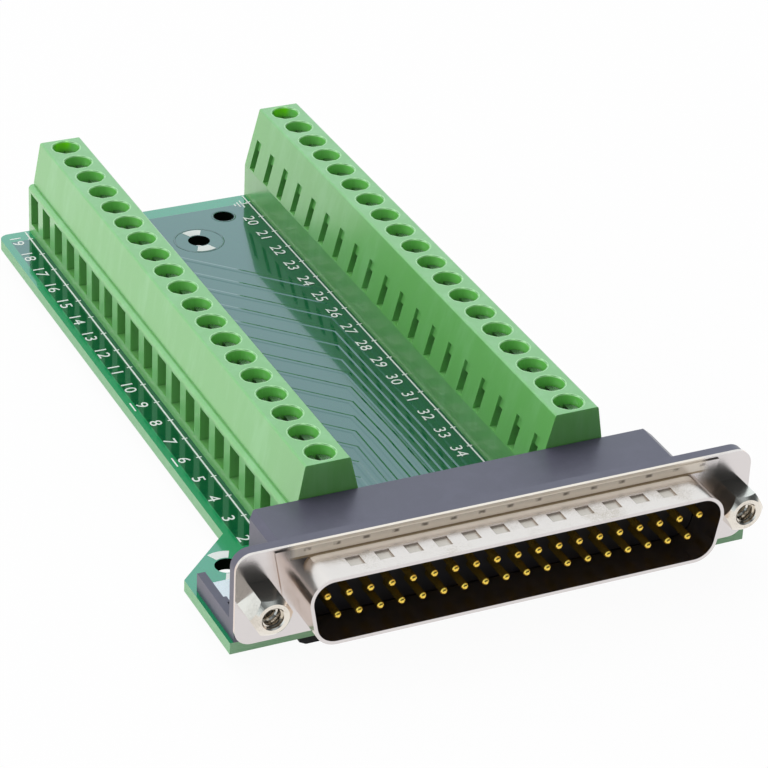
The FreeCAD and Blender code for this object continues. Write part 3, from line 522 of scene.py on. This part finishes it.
def fixNormals(bm):
    bmesh.ops.remove_doubles(bm, verts=bm.verts, dist=1e-8)
    bmesh.ops.recalc_face_normals(bm, faces=bm.faces)


# ---- Geometry Nodes helpers


def newGeometryTree(name, takes):
    tree = bpy.data.node_groups.new(name, "GeometryNodeTree")
    kinds = {"geometry": "NodeSocketGeometry", "vector": "NodeSocketVector", "value": "NodeSocketFloat",
             "count": "NodeSocketInt", "material": "NodeSocketMaterial"}
    for label, kind in takes:
        tree.interface.new_socket(name=label, in_out="INPUT", socket_type=kinds[kind])
    tree.interface.new_socket(name="Geometry", in_out="OUTPUT", socket_type="NodeSocketGeometry")
    return tree, tree.nodes.new("NodeGroupInput").outputs, tree.nodes.new("NodeGroupOutput").inputs


def closeTree(tree, geometry, material, leave):
    real = put(tree, "GeometryNodeRealizeInstances", {0: geometry}).outputs[0]
    coated = put(tree, "GeometryNodeSetMaterial", {"Geometry": real, "Material": material}).outputs[0]
    tree.links.new(coated, leave["Geometry"])


# Runs a tree on a piece and keeps the result as a plain mesh.
def growPiece(piece, tree, values, smooth=None):
    modifier = piece.modifiers.new(tree.name, "NODES")
    modifier.node_group = tree
    for item in tree.interface.items_tree:
        if item.item_type == "SOCKET" and item.in_out == "INPUT" and item.name in values:
            modifier[item.identifier] = values[item.name]
    grown = bpy.data.meshes.new_from_object(piece.evaluated_get(bpy.context.evaluated_depsgraph_get()))
    piece.modifiers.clear()
    piece.data = grown
    grown.name = piece.name
    if smooth is not None:
        grown.polygons.foreach_set("use_smooth", [smooth] * len(grown.polygons))
    return piece


def makeRowTree():
    tree, takes, leave = newGeometryTree("rowTree", [
        ("Geometry", "geometry"), ("Start", "vector"), ("Step", "vector"), ("Count", "count"),
        ("Material", "material")])
    points = put(tree, "GeometryNodeMeshLine", {"Count": takes["Count"], "Start Location": takes["Start"],
                                                "Offset": takes["Step"]}, mode="OFFSET").outputs[0]
    placed = put(tree, "GeometryNodeInstanceOnPoints", {"Points": points, "Instance": takes["Geometry"]})
    closeTree(tree, placed.outputs[0], takes["Material"], leave)
    return tree


def makeTrackTree():
    tree, takes, leave = newGeometryTree("trackTree", [
        ("Geometry", "geometry"), ("Foot Width", "value"), ("Top Width", "value"), ("Height", "value"),
        ("Material", "material")])
    lines = put(tree, "GeometryNodeMeshToCurve", {0: takes["Geometry"]}).outputs[0]
    profile = put(tree, "GeometryNodeCurvePrimitiveQuadrilateral", mode="TRAPEZOID")
    tree.links.new(takes["Foot Width"], profile.inputs["Top Width"])
    tree.links.new(takes["Top Width"], profile.inputs["Bottom Width"])
    tree.links.new(takes["Height"], profile.inputs["Height"])
    profile.inputs["Offset"].default_value = 0.0
    swept = put(tree, "GeometryNodeCurveToMesh", {"Curve": lines, "Profile Curve": profile.outputs[0],
                                                  "Fill Caps": True}).outputs[0]
    closeTree(tree, swept, takes["Material"], leave)
    return tree


threadTakes = [("Geometry", "geometry"), ("Radius", "value"), ("Turns", "value"), ("Length", "value"),
               ("Ridge", "value"), ("Thread Place", "vector"), ("Centre", "vector"), ("Material", "material")]


# A spiral ridge, its steps per turn and the corners of its section.
def sweepThread(tree, takes, steps, corners):
    spiral = put(tree, "GeometryNodeCurveSpiral", {
        "Resolution": steps, "Rotations": takes["Turns"], "Start Radius": takes["Radius"],
        "End Radius": takes["Radius"], "Height": takes["Length"]}).outputs[0]
    section = put(tree, "GeometryNodeCurvePrimitiveCircle", {"Resolution": corners, "Radius": takes["Ridge"]})
    swept = put(tree, "GeometryNodeCurveToMesh", {"Curve": spiral, "Profile Curve": section.outputs[0],
                                                  "Fill Caps": True}).outputs[0]
    place = takes["Thread Place"]
    return put(tree, "GeometryNodeTransform", {"Geometry": swept, "Translation": place}).outputs[0]


def makeThreadTree():
    tree, takes, leave = newGeometryTree("threadTree", threadTakes + [("Turn", "vector")])
    both = put(tree, "GeometryNodeJoinGeometry")
    tree.links.new(sweepThread(tree, takes, 20, 4), both.inputs[0])
    tree.links.new(takes["Geometry"], both.inputs[0])
    placed = put(tree, "GeometryNodeTransform", {"Geometry": both.outputs[0], "Translation": takes["Centre"],
                                                 "Rotation": takes["Turn"]}).outputs[0]
    closeTree(tree, placed, takes["Material"], leave)
    return tree


def makeScrewTree():
    tree, takes, leave = newGeometryTree("terminalScrewTree", threadTakes + [("Slot Size", "vector")])
    cutter = put(tree, "GeometryNodeMeshCube", {"Size": takes["Slot Size"]}).outputs[0]
    slotted = put(tree, "GeometryNodeMeshBoolean", {"Mesh 1": takes["Geometry"], "Mesh 2": cutter},
                  operation="DIFFERENCE", solver="EXACT").outputs[0]
    both = put(tree, "GeometryNodeJoinGeometry")
    tree.links.new(slotted, both.inputs[0])
    tree.links.new(sweepThread(tree, takes, 14, 3), both.inputs[0])
    placed = put(tree, "GeometryNodeTransform", {"Geometry": both.outputs[0],
                                                 "Translation": takes["Centre"]}).outputs[0]
    closeTree(tree, placed, takes["Material"], leave)
    return tree


rowTree = makeRowTree()
trackTree = makeTrackTree()
threadTree = makeThreadTree()
screwTree = makeScrewTree()


def growRow(name, bm, material, start, step, count, smooth=False):
    values = {"Start": start, "Step": step, "Count": count, "Material": material}
    return growPiece(newPiece(name, bm, material), rowTree, values, smooth)


# Joins several finished meshes of one body into one piece.
def joinPieces(name, pieces, material):
    bm = bmesh.new()
    smooth = []
    for piece in pieces:
        smooth += [face.use_smooth for face in piece.data.polygons]
        bm.from_mesh(piece.data)
        bpy.data.objects.remove(piece)
    whole = newPiece(name, bm, material)
    whole.data.polygons.foreach_set("use_smooth", smooth)
    return whole


# ---- Round linings of the screw wells, with the moulded lip that catches the light

wellRim = {"bore": 1.9, "outer": 2.14, "top": 13.753, "lip": 0.16, "depth": 2.55, "sides": 36}


def makeWellRims(name, side):
    size = wellRim
    bore, outer, lip = size["bore"] / 1000, size["outer"] / 1000, size["lip"] / 1000
    bottom = -size["depth"] / 1000
    bm = bmesh.new()
    turnProfile(bm, [(outer, bottom), (outer, 0.0), (bore + lip, 0.0), (bore + lip * 0.3, -lip * 0.3),
                     (bore, -lip), (bore, bottom)], size["sides"], closed=True)
    fixNormals(bm)
    start = spot(side * plan["wellRow"], plan["firstWay"], size["top"])
    return growRow(name, bm, wellLitPlastic, start, wayStep, plan["wayCount"])


for sideName, side in (("left", -1), ("right", 1)):
    rims = makeWellRims(sideName + "WellRims", side)
    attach(rims, "adapter")
print("well rims made")

# ---- Terminal screws

screw = {"top": 12.4, "headRadius": 1.8, "headHeight": 1.2, "chamfer": 0.14, "shankRadius": 1.25,
         "coreShare": 0.93, "tipShare": 0.8, "bottom": 6.85, "slotWidth": 0.6, "slotDepth": 0.7,
         "ridge": 0.09, "threadPitch": 0.5, "sides": 28}


def makeScrew(name, side, way):
    size = screw
    head, shank = size["headRadius"] / 1000, size["shankRadius"] / 1000 * size["coreShare"]
    under = -size["headHeight"] / 1000
    bottom = (size["bottom"] - size["top"]) / 1000
    bevel = size["chamfer"] / 1000
    bm = bmesh.new()
    turnProfile(bm, [(0, bottom), (shank * size["tipShare"], bottom), (shank, bottom + bevel), (shank, under),
                     (head, under), (head, -bevel), (head - bevel, 0), (0, 0)], size["sides"])
    fixNormals(bm)
    piece = newPiece(name, bm, screwSteel)
    length = under - bottom - 2 * bevel
    growPiece(piece, screwTree, {
        "Slot Size": (size["slotWidth"] / 1000, 3 * head, 2 * size["slotDepth"] / 1000),
        "Radius": shank, "Turns": length * 1000 / size["threadPitch"], "Length": length,
        "Ridge": size["ridge"] / 1000, "Thread Place": (0, 0, bottom + bevel),
        "Centre": spot(side * plan["wellRow"], wayAlong(way), size["top"]), "Material": screwSteel}, False)
    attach(piece, "terminal_screw_" + name)
    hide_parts("terminal_screw_" + name)
    return piece


# the left row counts from the front, the right one from its ground screw at the back
screwNames = [("%02d" % (way + 1), -1, way) for way in range(plan["wayCount"])]
screwNames += [("ground", 1, 18)] + [("%02d" % (20 + way), 1, 17 - way) for way in range(18)]
for label, side, way in screwNames:
    piece = makeScrew(label, side, way)
    piece.name = "screw" + label.capitalize()
print("terminal screws made:", len(screwNames))

# ---- Contacts: a round pin in front and a square lead that turns down through the board

contact = {"pitch": 2.77, "radius": 0.5, "tip": -4.96, "front": -0.3, "dome": 0.46, "lead": 0.6, "bend": 0.5,
           "bottom": -3.0, "sides": 14, "arcSteps": 4}


# A square bar along points in the YZ plane, with a mitred section at each point.
def addSquareBar(bm, points, width):
    half = width / 2
    sections = []
    for i, here in enumerate(points):
        ways = []
        if i > 0:
            ways.append((here - points[i - 1]).normalized())
        if i < len(points) - 1:
            ways.append((points[i + 1] - here).normalized())
        ahead = sum(ways, Vector()).normalized()
        over = Vector((0, -ahead.z, ahead.y))
        stretch = 1 / max(0.5, over.dot(Vector((0, -ways[0].z, ways[0].y))))
        sections.append([bm.verts.new(here + Vector((across * half, 0, 0)) + over * up * half * stretch)
                         for across, up in ((-1, -1), (1, -1), (1, 1), (-1, 1))])
    for first, second in zip(sections, sections[1:]):
        for i in range(4):
            j = (i + 1) % 4
            bm.faces.new((first[i], first[j], second[j], second[i]))
    bm.faces.new(sections[0])
    bm.faces.new(sections[-1])


def makeContacts(name, node, count, height, leadReach):
    size = contact
    steps = size["arcSteps"]
    arc = [math.pi / 2 * i / steps for i in range(1, steps + 1)]
    bm = bmesh.new()
    length = (size["front"] - size["tip"]) / 1000
    radius, dome = size["radius"] / 1000, size["dome"] / 1000
    profile = [(0, 0), (radius, 0), (radius, length - dome)]
    profile += [(radius * math.cos(turn), length - dome + dome * math.sin(turn)) for turn in arc[:-1]]
    profile.append((0, length))
    turnProfile(bm, profile, size["sides"])
    aim = Matrix.Translation(Vector((0, size["front"], height)) / 1000) @ Matrix.Rotation(math.pi / 2, 4, "X")
    bmesh.ops.transform(bm, matrix=aim, verts=bm.verts)
    bend = size["bend"]
    route = [(size["front"], height), (leadReach - bend, height)]
    for turn in arc[:-1]:
        route.append((leadReach - bend + bend * math.sin(turn), height - bend + bend * math.cos(turn)))
    route += [(leadReach, height - bend), (leadReach, size["bottom"])]
    addSquareBar(bm, [Vector((0, along, up)) / 1000 for along, up in route], size["lead"] / 1000)
    fixNormals(bm)
    start = spot(-(count - 1) / 2 * size["pitch"], 0, 0)
    row = growRow(name, bm, goldPlate, start, Vector((size["pitch"] / 1000, 0, 0)), count)
    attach(row, "adapter")
    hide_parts(node)
    return row


for label, (count, height, leadReach) in contactRows.items():
    makeContacts(label + "Contacts", label + "_contact_pins", count, height, leadReach)
print("contacts made")

# ---- Jackscrews: a hexagon with a turned end and a threaded hole, and the stud behind it

jackscrew = {"reach": 31.75, "height": 5.9, "flats": 4.75, "length": 4.76, "endRadius": 2.02,
             "mouthRadius": 1.52, "holeRadius": 1.36, "depth": 4.2, "ridge": 0.2, "pitch": 0.635,
             "threadGap": 0.5, "threadStart": 0.1, "studRadius": 1.4, "studLength": 4.6, "studBevel": 0.2,
             "sides": 60}


def makeJackscrew(name, node, side):
    size = jackscrew
    count = size["sides"]
    front, mouth, hole = size["length"], size["mouthRadius"], size["holeRadius"]
    turns = [2 * math.pi * i / count for i in range(count)]
    hexagon = [size["flats"] / 2 / math.cos(turn % (math.pi / 3) - math.pi / 6) for turn in turns]
    end = [size["endRadius"]] * count
    stud, studEnd, bevel = size["studRadius"], -size["studLength"], size["studBevel"]
    outlines = [
        (None, studEnd), ([stud - bevel] * count, studEnd), ([stud] * count, studEnd + bevel),
        ([stud] * count, 0.0), (hexagon, 0.0), (hexagon, "turned"), (end, front), ([mouth] * count, front),
        ([hole] * count, front - (mouth - hole)), ([hole] * count, front - size["depth"]),
        (None, front - size["depth"]),
    ]
    bm = bmesh.new()
    rings = []
    for radii, height in outlines:
        if radii is None:
            rings.append([bm.verts.new((0, 0, height / 1000))])
            continue
        # the hexagon's corners are turned off at the end
        heights = [front + size["endRadius"] - r for r in radii] if height == "turned" else [height] * count
        rings.append([bm.verts.new((r * math.cos(turn) / 1000, r * math.sin(turn) / 1000, up / 1000))
                      for r, turn, up in zip(radii, turns, heights)])
    for low, high in zip(rings, rings[1:]):
        for i in range(count):
            j = (i + 1) % count
            corners = [low[i % len(low)], low[j % len(low)], high[j % len(high)], high[i % len(high)]]
            bm.faces.new(list(dict.fromkeys(corners)))
    fixNormals(bm)
    piece = newPiece(name, bm, jackscrewMetal)
    length = size["depth"] - size["threadGap"]
    growPiece(piece, threadTree, {
        "Radius": hole / 1000, "Turns": length / size["pitch"], "Length": length / 1000,
        "Ridge": size["ridge"] / 1000,
        "Thread Place": (0, 0, (front - size["depth"] + size["threadStart"]) / 1000),
        "Centre": spot(side * size["reach"], 0, size["height"]),
        "Turn": (math.pi / 2, 0, 0), "Material": jackscrewMetal}, False)
    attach(piece, "adapter")
    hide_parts(node)
    return piece


for sideName, side in (("left", -1), ("right", 1)):
    makeJackscrew(sideName + "Jackscrew", sideName + "_jackscrew", side)
print("jackscrews made")

# ---- Copper tracks under the solder mask

tracks = {"footWidth": 1.04, "topWidth": 0.46, "height": 0.036, "start": -13.6, "end": 13.35, "firstSum": 3.3,
          "bends": (-9.7, -8.3, -6.9, -5.5, -4.1, -2.7, -1.3, 0.1, 1.5, 2.9, 4.3, 5.4, 6.6, 7.8, 9.0, 10.2,
                    11.3),
          "drift": 0.35, "driftAlong": 37.0, "shortest": 1.0, "driftFrom": 4.0}


# Each track starts under the left block, runs slanting to its bend and then to the front.
def makeTracks():
    size = tracks
    bm = bmesh.new()
    up = size["height"] / 2
    for number, bend in enumerate(size["bends"], start=1):
        total = size["firstSum"] + plan["wayPitch"] * number
        if total - bend < size["end"] + size["shortest"]:
            continue
        points = [(size["start"], total - size["start"]), (bend, total - bend)]
        if total - bend > size["driftAlong"] + size["driftFrom"]:
            points.append((bend + size["drift"], size["driftAlong"]))
        points.append((points[-1][0], size["end"]))
        line = [bm.verts.new(spot(across, along, up)) for across, along in points]
        for first, second in zip(line, line[1:]):
            bm.edges.new((first, second))
    piece = newPiece("boardTracks", bm, trackMask)
    growPiece(piece, trackTree, {"Foot Width": size["footWidth"] / 1000, "Top Width": size["topWidth"] / 1000,
                                 "Height": size["height"] / 1000, "Material": trackMask}, False)
    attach(piece, "adapter")
    return piece


makeTracks()
print("tracks made")

# ---- White printing: lines with ticks, terminal numbers, ground sign and the marks round the holes

printing = {"thick": 0.02, "leftLine": -22.6, "rightLine": 11.4, "lineWidth": 0.22, "lineFront": 13.6,
            "lineBack": 108.2, "tickLength": 0.75, "tickWidth": 0.2, "digitHeight": 1.65, "digitStretch": 1.2,
            "digitSpace": 1.06, "leftNumbers": -25.45, "rightNumbers": 8.75, "rightLift": 0.05,
            "rightShift": -0.7, "groundWidths": (2.3, 1.5, 0.7), "groundStart": 10.35, "groundStep": 0.55,
            "groundStem": 10.85, "stemLength": 1.0, "groundShift": -0.2, "groundLine": 0.2,
            "dashWays": (5, 8), "dashes": -26.0, "dashShift": -0.1, "dashWidth": 0.2, "dashLength": 2.2,
            "wedgedHoles": ("rearMiddle", "leftEar", "rightEar"), "wedgeReach": 3.3, "wedgeHalf": 26.0,
            "wedgeStart": 1.75, "wedgeSteps": 8}


def makeNumber(text, across, along, up):
    size = printing
    curve = bpy.data.curves.new("number" + text, "FONT")
    curve.body = text
    curve.size = 1.0
    curve.align_x = "CENTER"
    curve.resolution_u = 3
    curve.space_character = size["digitSpace"]
    host = bpy.data.objects.new(curve.name, curve)
    bpy.context.scene.collection.objects.link(host)
    mesh = bpy.data.meshes.new_from_object(host.evaluated_get(bpy.context.evaluated_depsgraph_get()))
    bpy.data.objects.remove(host)
    heights = [v.co.y for v in mesh.vertices]
    scale = size["digitHeight"] / (max(heights) - min(heights)) / 1000
    # the words run from the back to the front, and the tops of the digits point to the right
    turn = Matrix.Rotation(-math.pi / 2, 4, "Z")
    grow = Matrix.Diagonal((scale * size["digitStretch"], scale, 1.0, 1.0))
    mesh.transform(Matrix.Translation(spot(across, along, up)) @ turn @ grow)
    bm = bmesh.new()
    bm.from_mesh(mesh)
    bmesh.ops.recalc_face_normals(bm, faces=bm.faces)
    if sum(face.normal.z for face in bm.faces) < 0:
        bmesh.ops.reverse_faces(bm, faces=bm.faces)
    raised = bmesh.ops.extrude_face_region(bm, geom=bm.faces[:])
    tops = [item for item in raised["geom"] if isinstance(item, bmesh.types.BMVert)]
    bmesh.ops.translate(bm, verts=tops, vec=(0, 0, size["thick"] / 1000))
    bmesh.ops.recalc_face_normals(bm, faces=bm.faces)
    return newPiece("number" + text, bm, whiteInk)


def addStroke(bm, across, along, up, width, length):
    low = spot(across - width / 2, along - length / 2, up)
    addBlock(bm, low, spot(across + width / 2, along + length / 2, up + printing["thick"]))


def addWedges(bm, across, along):
    size = printing
    steps = size["wedgeSteps"]
    for heading in (90, 270):
        rims = []
        for reach in (size["wedgeStart"], size["wedgeReach"]):
            arc = []
            for i in range(steps + 1):
                turn = math.radians(heading + size["wedgeHalf"] * (2 * i / steps - 1))
                arc.append((across + reach * math.cos(turn), along + reach * math.sin(turn)))
            rims.append(arc)
        loop = rims[0] + rims[1][::-1]
        low = [bm.verts.new(spot(x, y, 0.0)) for x, y in loop]
        high = [bm.verts.new(spot(x, y, size["thick"])) for x, y in loop]
        count = len(loop)
        for i in range(steps):
            mirror = count - 1 - i
            bm.faces.new((low[i], low[i + 1], low[mirror - 1], low[mirror]))
            bm.faces.new((high[i], high[i + 1], high[mirror - 1], high[mirror]))
        for i in range(count):
            j = (i + 1) % count
            bm.faces.new((low[i], low[j], high[j], high[i]))


def makePrinting():
    size = printing
    lines = ((size["leftLine"], 0.0), (size["rightLine"], size["rightLift"]))
    pieces = []
    bm = bmesh.new()
    middle = (size["lineFront"] + size["lineBack"]) / 2
    length = size["lineBack"] - size["lineFront"]
    for line, lift in lines:
        addStroke(bm, line, middle, lift, size["lineWidth"], length)
    # the ground sign: three strokes and a stem
    along, width = wayAlong(18) + size["groundShift"], size["groundLine"]
    for number, reach in enumerate(size["groundWidths"]):
        addStroke(bm, size["groundStart"] - size["groundStep"] * number, along, 0.0, width, reach)
    addStroke(bm, size["groundStem"], along, 0.0, size["stemLength"], width)
    for way in size["dashWays"]:
        along = wayAlong(way) + size["dashShift"]
        addStroke(bm, size["dashes"], along, 0.0, size["dashWidth"], size["dashLength"])
    for hole in size["wedgedHoles"]:
        addWedges(bm, *holes[hole])
    fixNormals(bm)
    pieces.append(newPiece("printedLines", bm, whiteInk))
    for line, lift in lines:
        bm = bmesh.new()
        low, high = -size["tickLength"] / 2, size["tickLength"] / 2
        half = size["tickWidth"] / 2
        addBlock(bm, Vector((low, -half, 0)) / 1000, Vector((high, half, size["thick"] * 1.2)) / 1000)
        start = spot(line, plan["firstWay"], lift)
        pieces.append(growRow("ticks", bm, whiteInk, start, wayStep, plan["wayCount"]))
    for way in range(plan["wayCount"]):
        pieces.append(makeNumber(str(way + 1), size["leftNumbers"], wayAlong(way), 0.0))
    for way in range(18):
        pieces.append(makeNumber(str(37 - way), size["rightNumbers"], wayAlong(way) + size["rightShift"],
                                 size["rightLift"]))
    whole = joinPieces("boardPrinting", pieces, whiteInk)
    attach(whole, "adapter")
    return whole


makePrinting()
print("printing made")

# ---- Rings in the solder mask round the rear holes, and the solder joints under the board

# a ring's inner and outer radius and its rise
rings = {"rearSide": (1.52, 1.82, 0.02), "rearMiddle": (3.45, 3.7, 0.007), "sides": 48}


def makeMaskRings():
    bm = bmesh.new()
    for hole in ("rearSide", "rearMiddle"):
        inner, outer, rise = rings[hole]
        profile = [(inner / 1000, 0), (outer / 1000, 0), ((inner + outer) / 2 / 1000, rise / 1000)]
        ring = bmesh.new()
        turnProfile(ring, profile, rings["sides"], closed=True)
        fixNormals(ring)
        bmesh.ops.translate(ring, verts=ring.verts, vec=spot(*holes[hole], 0))
        shape = bpy.data.meshes.new("ring")
        ring.to_mesh(shape)
        ring.free()
        bm.from_mesh(shape)
        bpy.data.meshes.remove(shape)
    piece = newPiece("maskRings", bm, trackMask, True)
    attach(piece, "adapter")
    return piece


makeMaskRings()

# a joint's profile: the edge of the pad, then shares of its radius or the lead's and of the rise
solder = {"padRadius": 0.95, "leadRadius": 0.52, "rise": 0.95, "bottom": -1.6, "tail": 14.3, "sides": 14,
          "sunk": 0.01, "edge": 0.05, "slope": (0.78, 0.22), "neck": (1.12, 0.6), "tip": 0.96, "drop": 1.05,
          "leadShare": 0.85}


def makeSolderJoints():
    size = solder
    pad, lead, rise = size["padRadius"] / 1000, size["leadRadius"] / 1000, size["rise"] / 1000
    sunk, edge = size["sunk"] / 1000, -size["edge"] / 1000
    (slope, slopeDrop), (neck, neckDrop) = size["slope"], size["neck"]
    rows = [(spot(side * size["tail"], plan["firstWay"], size["bottom"]), wayStep, plan["wayCount"], pad)
            for side in (-1, 1)]
    for count, _, reach in contactRows.values():
        rows.append((spot(-(count - 1) / 2 * contact["pitch"], reach, size["bottom"]),
                     Vector((contact["pitch"] / 1000, 0, 0)), count, pad * size["leadShare"]))
    pieces = []
    for number, (start, step, count, wide) in enumerate(rows):
        bm = bmesh.new()
        turnProfile(bm, [(0, sunk), (wide, sunk), (wide, edge), (wide * slope, -rise * slopeDrop),
                         (lead * neck, -rise * neckDrop), (lead * size["tip"], -rise),
                         (0, -rise * size["drop"])], size["sides"])
        fixNormals(bm)
        pieces.append(growRow("solderRow%d" % number, bm, solderMetal, start, step, count, True))
    whole = joinPieces("solderJoints", pieces, solderMetal)
    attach(whole, "adapter")
    return whole


makeSolderJoints()
print("rings and solder joints made")

# ---- Floor, light and camera

stage = {"floorSize": 6.0, "floorColor": tone(236, 236, 238), "floorWhite": 0.95, "dimGloss": 0.095,
         "dimMatte": 0.42, "worldBack": 1.16, "backSpan": (-0.3, 0.3), "worldLeft": 1.15,
         "leftSpan": (0.3, 0.85), "worldAbove": 0.9, "aboveSpan": (0.55, 0.95), "matteShare": 0.9,
         "twiceShare": 0.35, "glossTint": tone(232, 246, 255), "lampTarget": (0, 0, 0.01)}
# place, width, height and power
lamps = {"leftLamp": ((-0.85, 0.1, 0.42), 0.7, 0.5, 2.2), "topLamp": ((-0.15, 0.25, 0.95), 0.6, 0.6, 1.9)}


def makeFloor():
    bm = bmesh.new()
    half = stage["floorSize"] / 2
    corners = [bm.verts.new((x * half, y * half, 0)) for x, y in ((-1, -1), (1, -1), (1, 1), (-1, 1))]
    bm.faces.new(corners)
    material = bpy.data.materials.new("paleFloor")
    material.use_nodes = True
    tree = material.node_tree
    tree.nodes.clear()
    matt = put(tree, "ShaderNodeBsdfDiffuse", {"Color": stage["floorColor"]})
    glow = put(tree, "ShaderNodeEmission", {"Color": (1, 1, 1, 1), "Strength": 1.0})
    rays = put(tree, "ShaderNodeLightPath").outputs
    seen = calc(tree, "MAXIMUM", rays["Is Camera Ray"], rays["Is Glossy Ray"])
    share = times(tree, seen, stage["floorWhite"])
    mixed = put(tree, "ShaderNodeMixShader", {0: share, 1: matt.outputs[0], 2: glow.outputs[0]})
    put(tree, "ShaderNodeOutputMaterial", {"Surface": mixed.outputs[0]})
    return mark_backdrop(newPiece("floor", bm, material))


# White behind the object and on its left, dim in front, as in a studio; the camera sees plain white.
def makeWorld():
    world = bpy.data.worlds.new("studio")
    bpy.context.scene.world = world
    world.use_nodes = True
    tree = world.node_tree
    tree.nodes.clear()
    heading = axesOf(tree, "Generated")
    behind = times(tree, ramp(tree, heading[1], *stage["backSpan"]), stage["worldBack"])
    left = times(tree, ramp(tree, times(tree, heading[0], -1.0), *stage["leftSpan"]), stage["worldLeft"])
    above = times(tree, ramp(tree, heading[2], *stage["aboveSpan"]), stage["worldAbove"])
    glow = calc(tree, "MAXIMUM", calc(tree, "MAXIMUM", behind, left), above)
    rays = put(tree, "ShaderNodeLightPath").outputs
    gloss = rays["Is Glossy Ray"]
    dim = calc(tree, "MULTIPLY_ADD", gloss, stage["dimGloss"] - stage["dimMatte"], stage["dimMatte"])
    share = calc(tree, "MULTIPLY_ADD", gloss, 1.0 - stage["matteShare"], stage["matteShare"])
    # what is mirrored twice comes back weaker
    twice = calc(tree, "GREATER_THAN", rays["Glossy Depth"], 1.5)
    share = times(tree, share, calc(tree, "MULTIPLY_ADD", twice, stage["twiceShare"] - 1.0, 1.0))
    glow = times(tree, calc(tree, "MAXIMUM", glow, dim), share)
    seen = calc(tree, "MAXIMUM", rays["Is Camera Ray"], rays["Is Transmission Ray"])
    strength = calc(tree, "ADD", times(tree, seen, calc(tree, "SUBTRACT", 1.0, glow)), glow)
    color = paint(tree, gloss, (1, 1, 1, 1), stage["glossTint"])
    back = put(tree, "ShaderNodeBackground", {"Color": color, "Strength": strength})
    put(tree, "ShaderNodeOutputWorld", {"Surface": back.outputs[0]})


def addLamp(name, place, width, height, power):
    light = bpy.data.lights.new(name, "AREA")
    light.shape = "RECTANGLE"
    light.size = width
    light.size_y = height
    light.energy = power
    lamp = bpy.data.objects.new(name, light)
    bpy.context.scene.collection.objects.link(lamp)
    away = Vector(place) - Vector(stage["lampTarget"])
    lamp.matrix_world = Matrix.Translation(Vector(place)) @ away.to_track_quat("Z", "Y").to_matrix().to_4x4()


makeFloor()
makeWorld()
for name, values in lamps.items():
    addLamp(name, *values)

# The camera stands where the photograph was taken from.
view = {"place": (-0.15896, -0.34179, 0.22133), "right": (0.904276, -0.424609, 0.044630),
        "up": (0.178712, 0.471375, 0.863636), "back": (-0.387745, -0.772990, 0.502136),
        "lens": 152.096, "sensor": 36.0, "shiftX": -0.03334, "shiftY": 0.0213, "near": 0.01, "far": 20.0}


def makeCamera():
    lens = bpy.data.cameras.new("camera")
    lens.lens = view["lens"]
    lens.sensor_width = view["sensor"]
    lens.shift_x = view["shiftX"]
    lens.shift_y = view["shiftY"]
    lens.clip_start = view["near"]
    lens.clip_end = view["far"]
    camera = bpy.data.objects.new("camera", lens)
    bpy.context.scene.collection.objects.link(camera)
    turn = Matrix((view["right"], view["up"], view["back"])).transposed().to_4x4()
    camera.matrix_world = Matrix.Translation(Vector(view["place"])) @ turn
    bpy.context.scene.camera = camera


makeCamera()
bpy.context.scene.view_settings.view_transform = "Standard"
print("stage made")
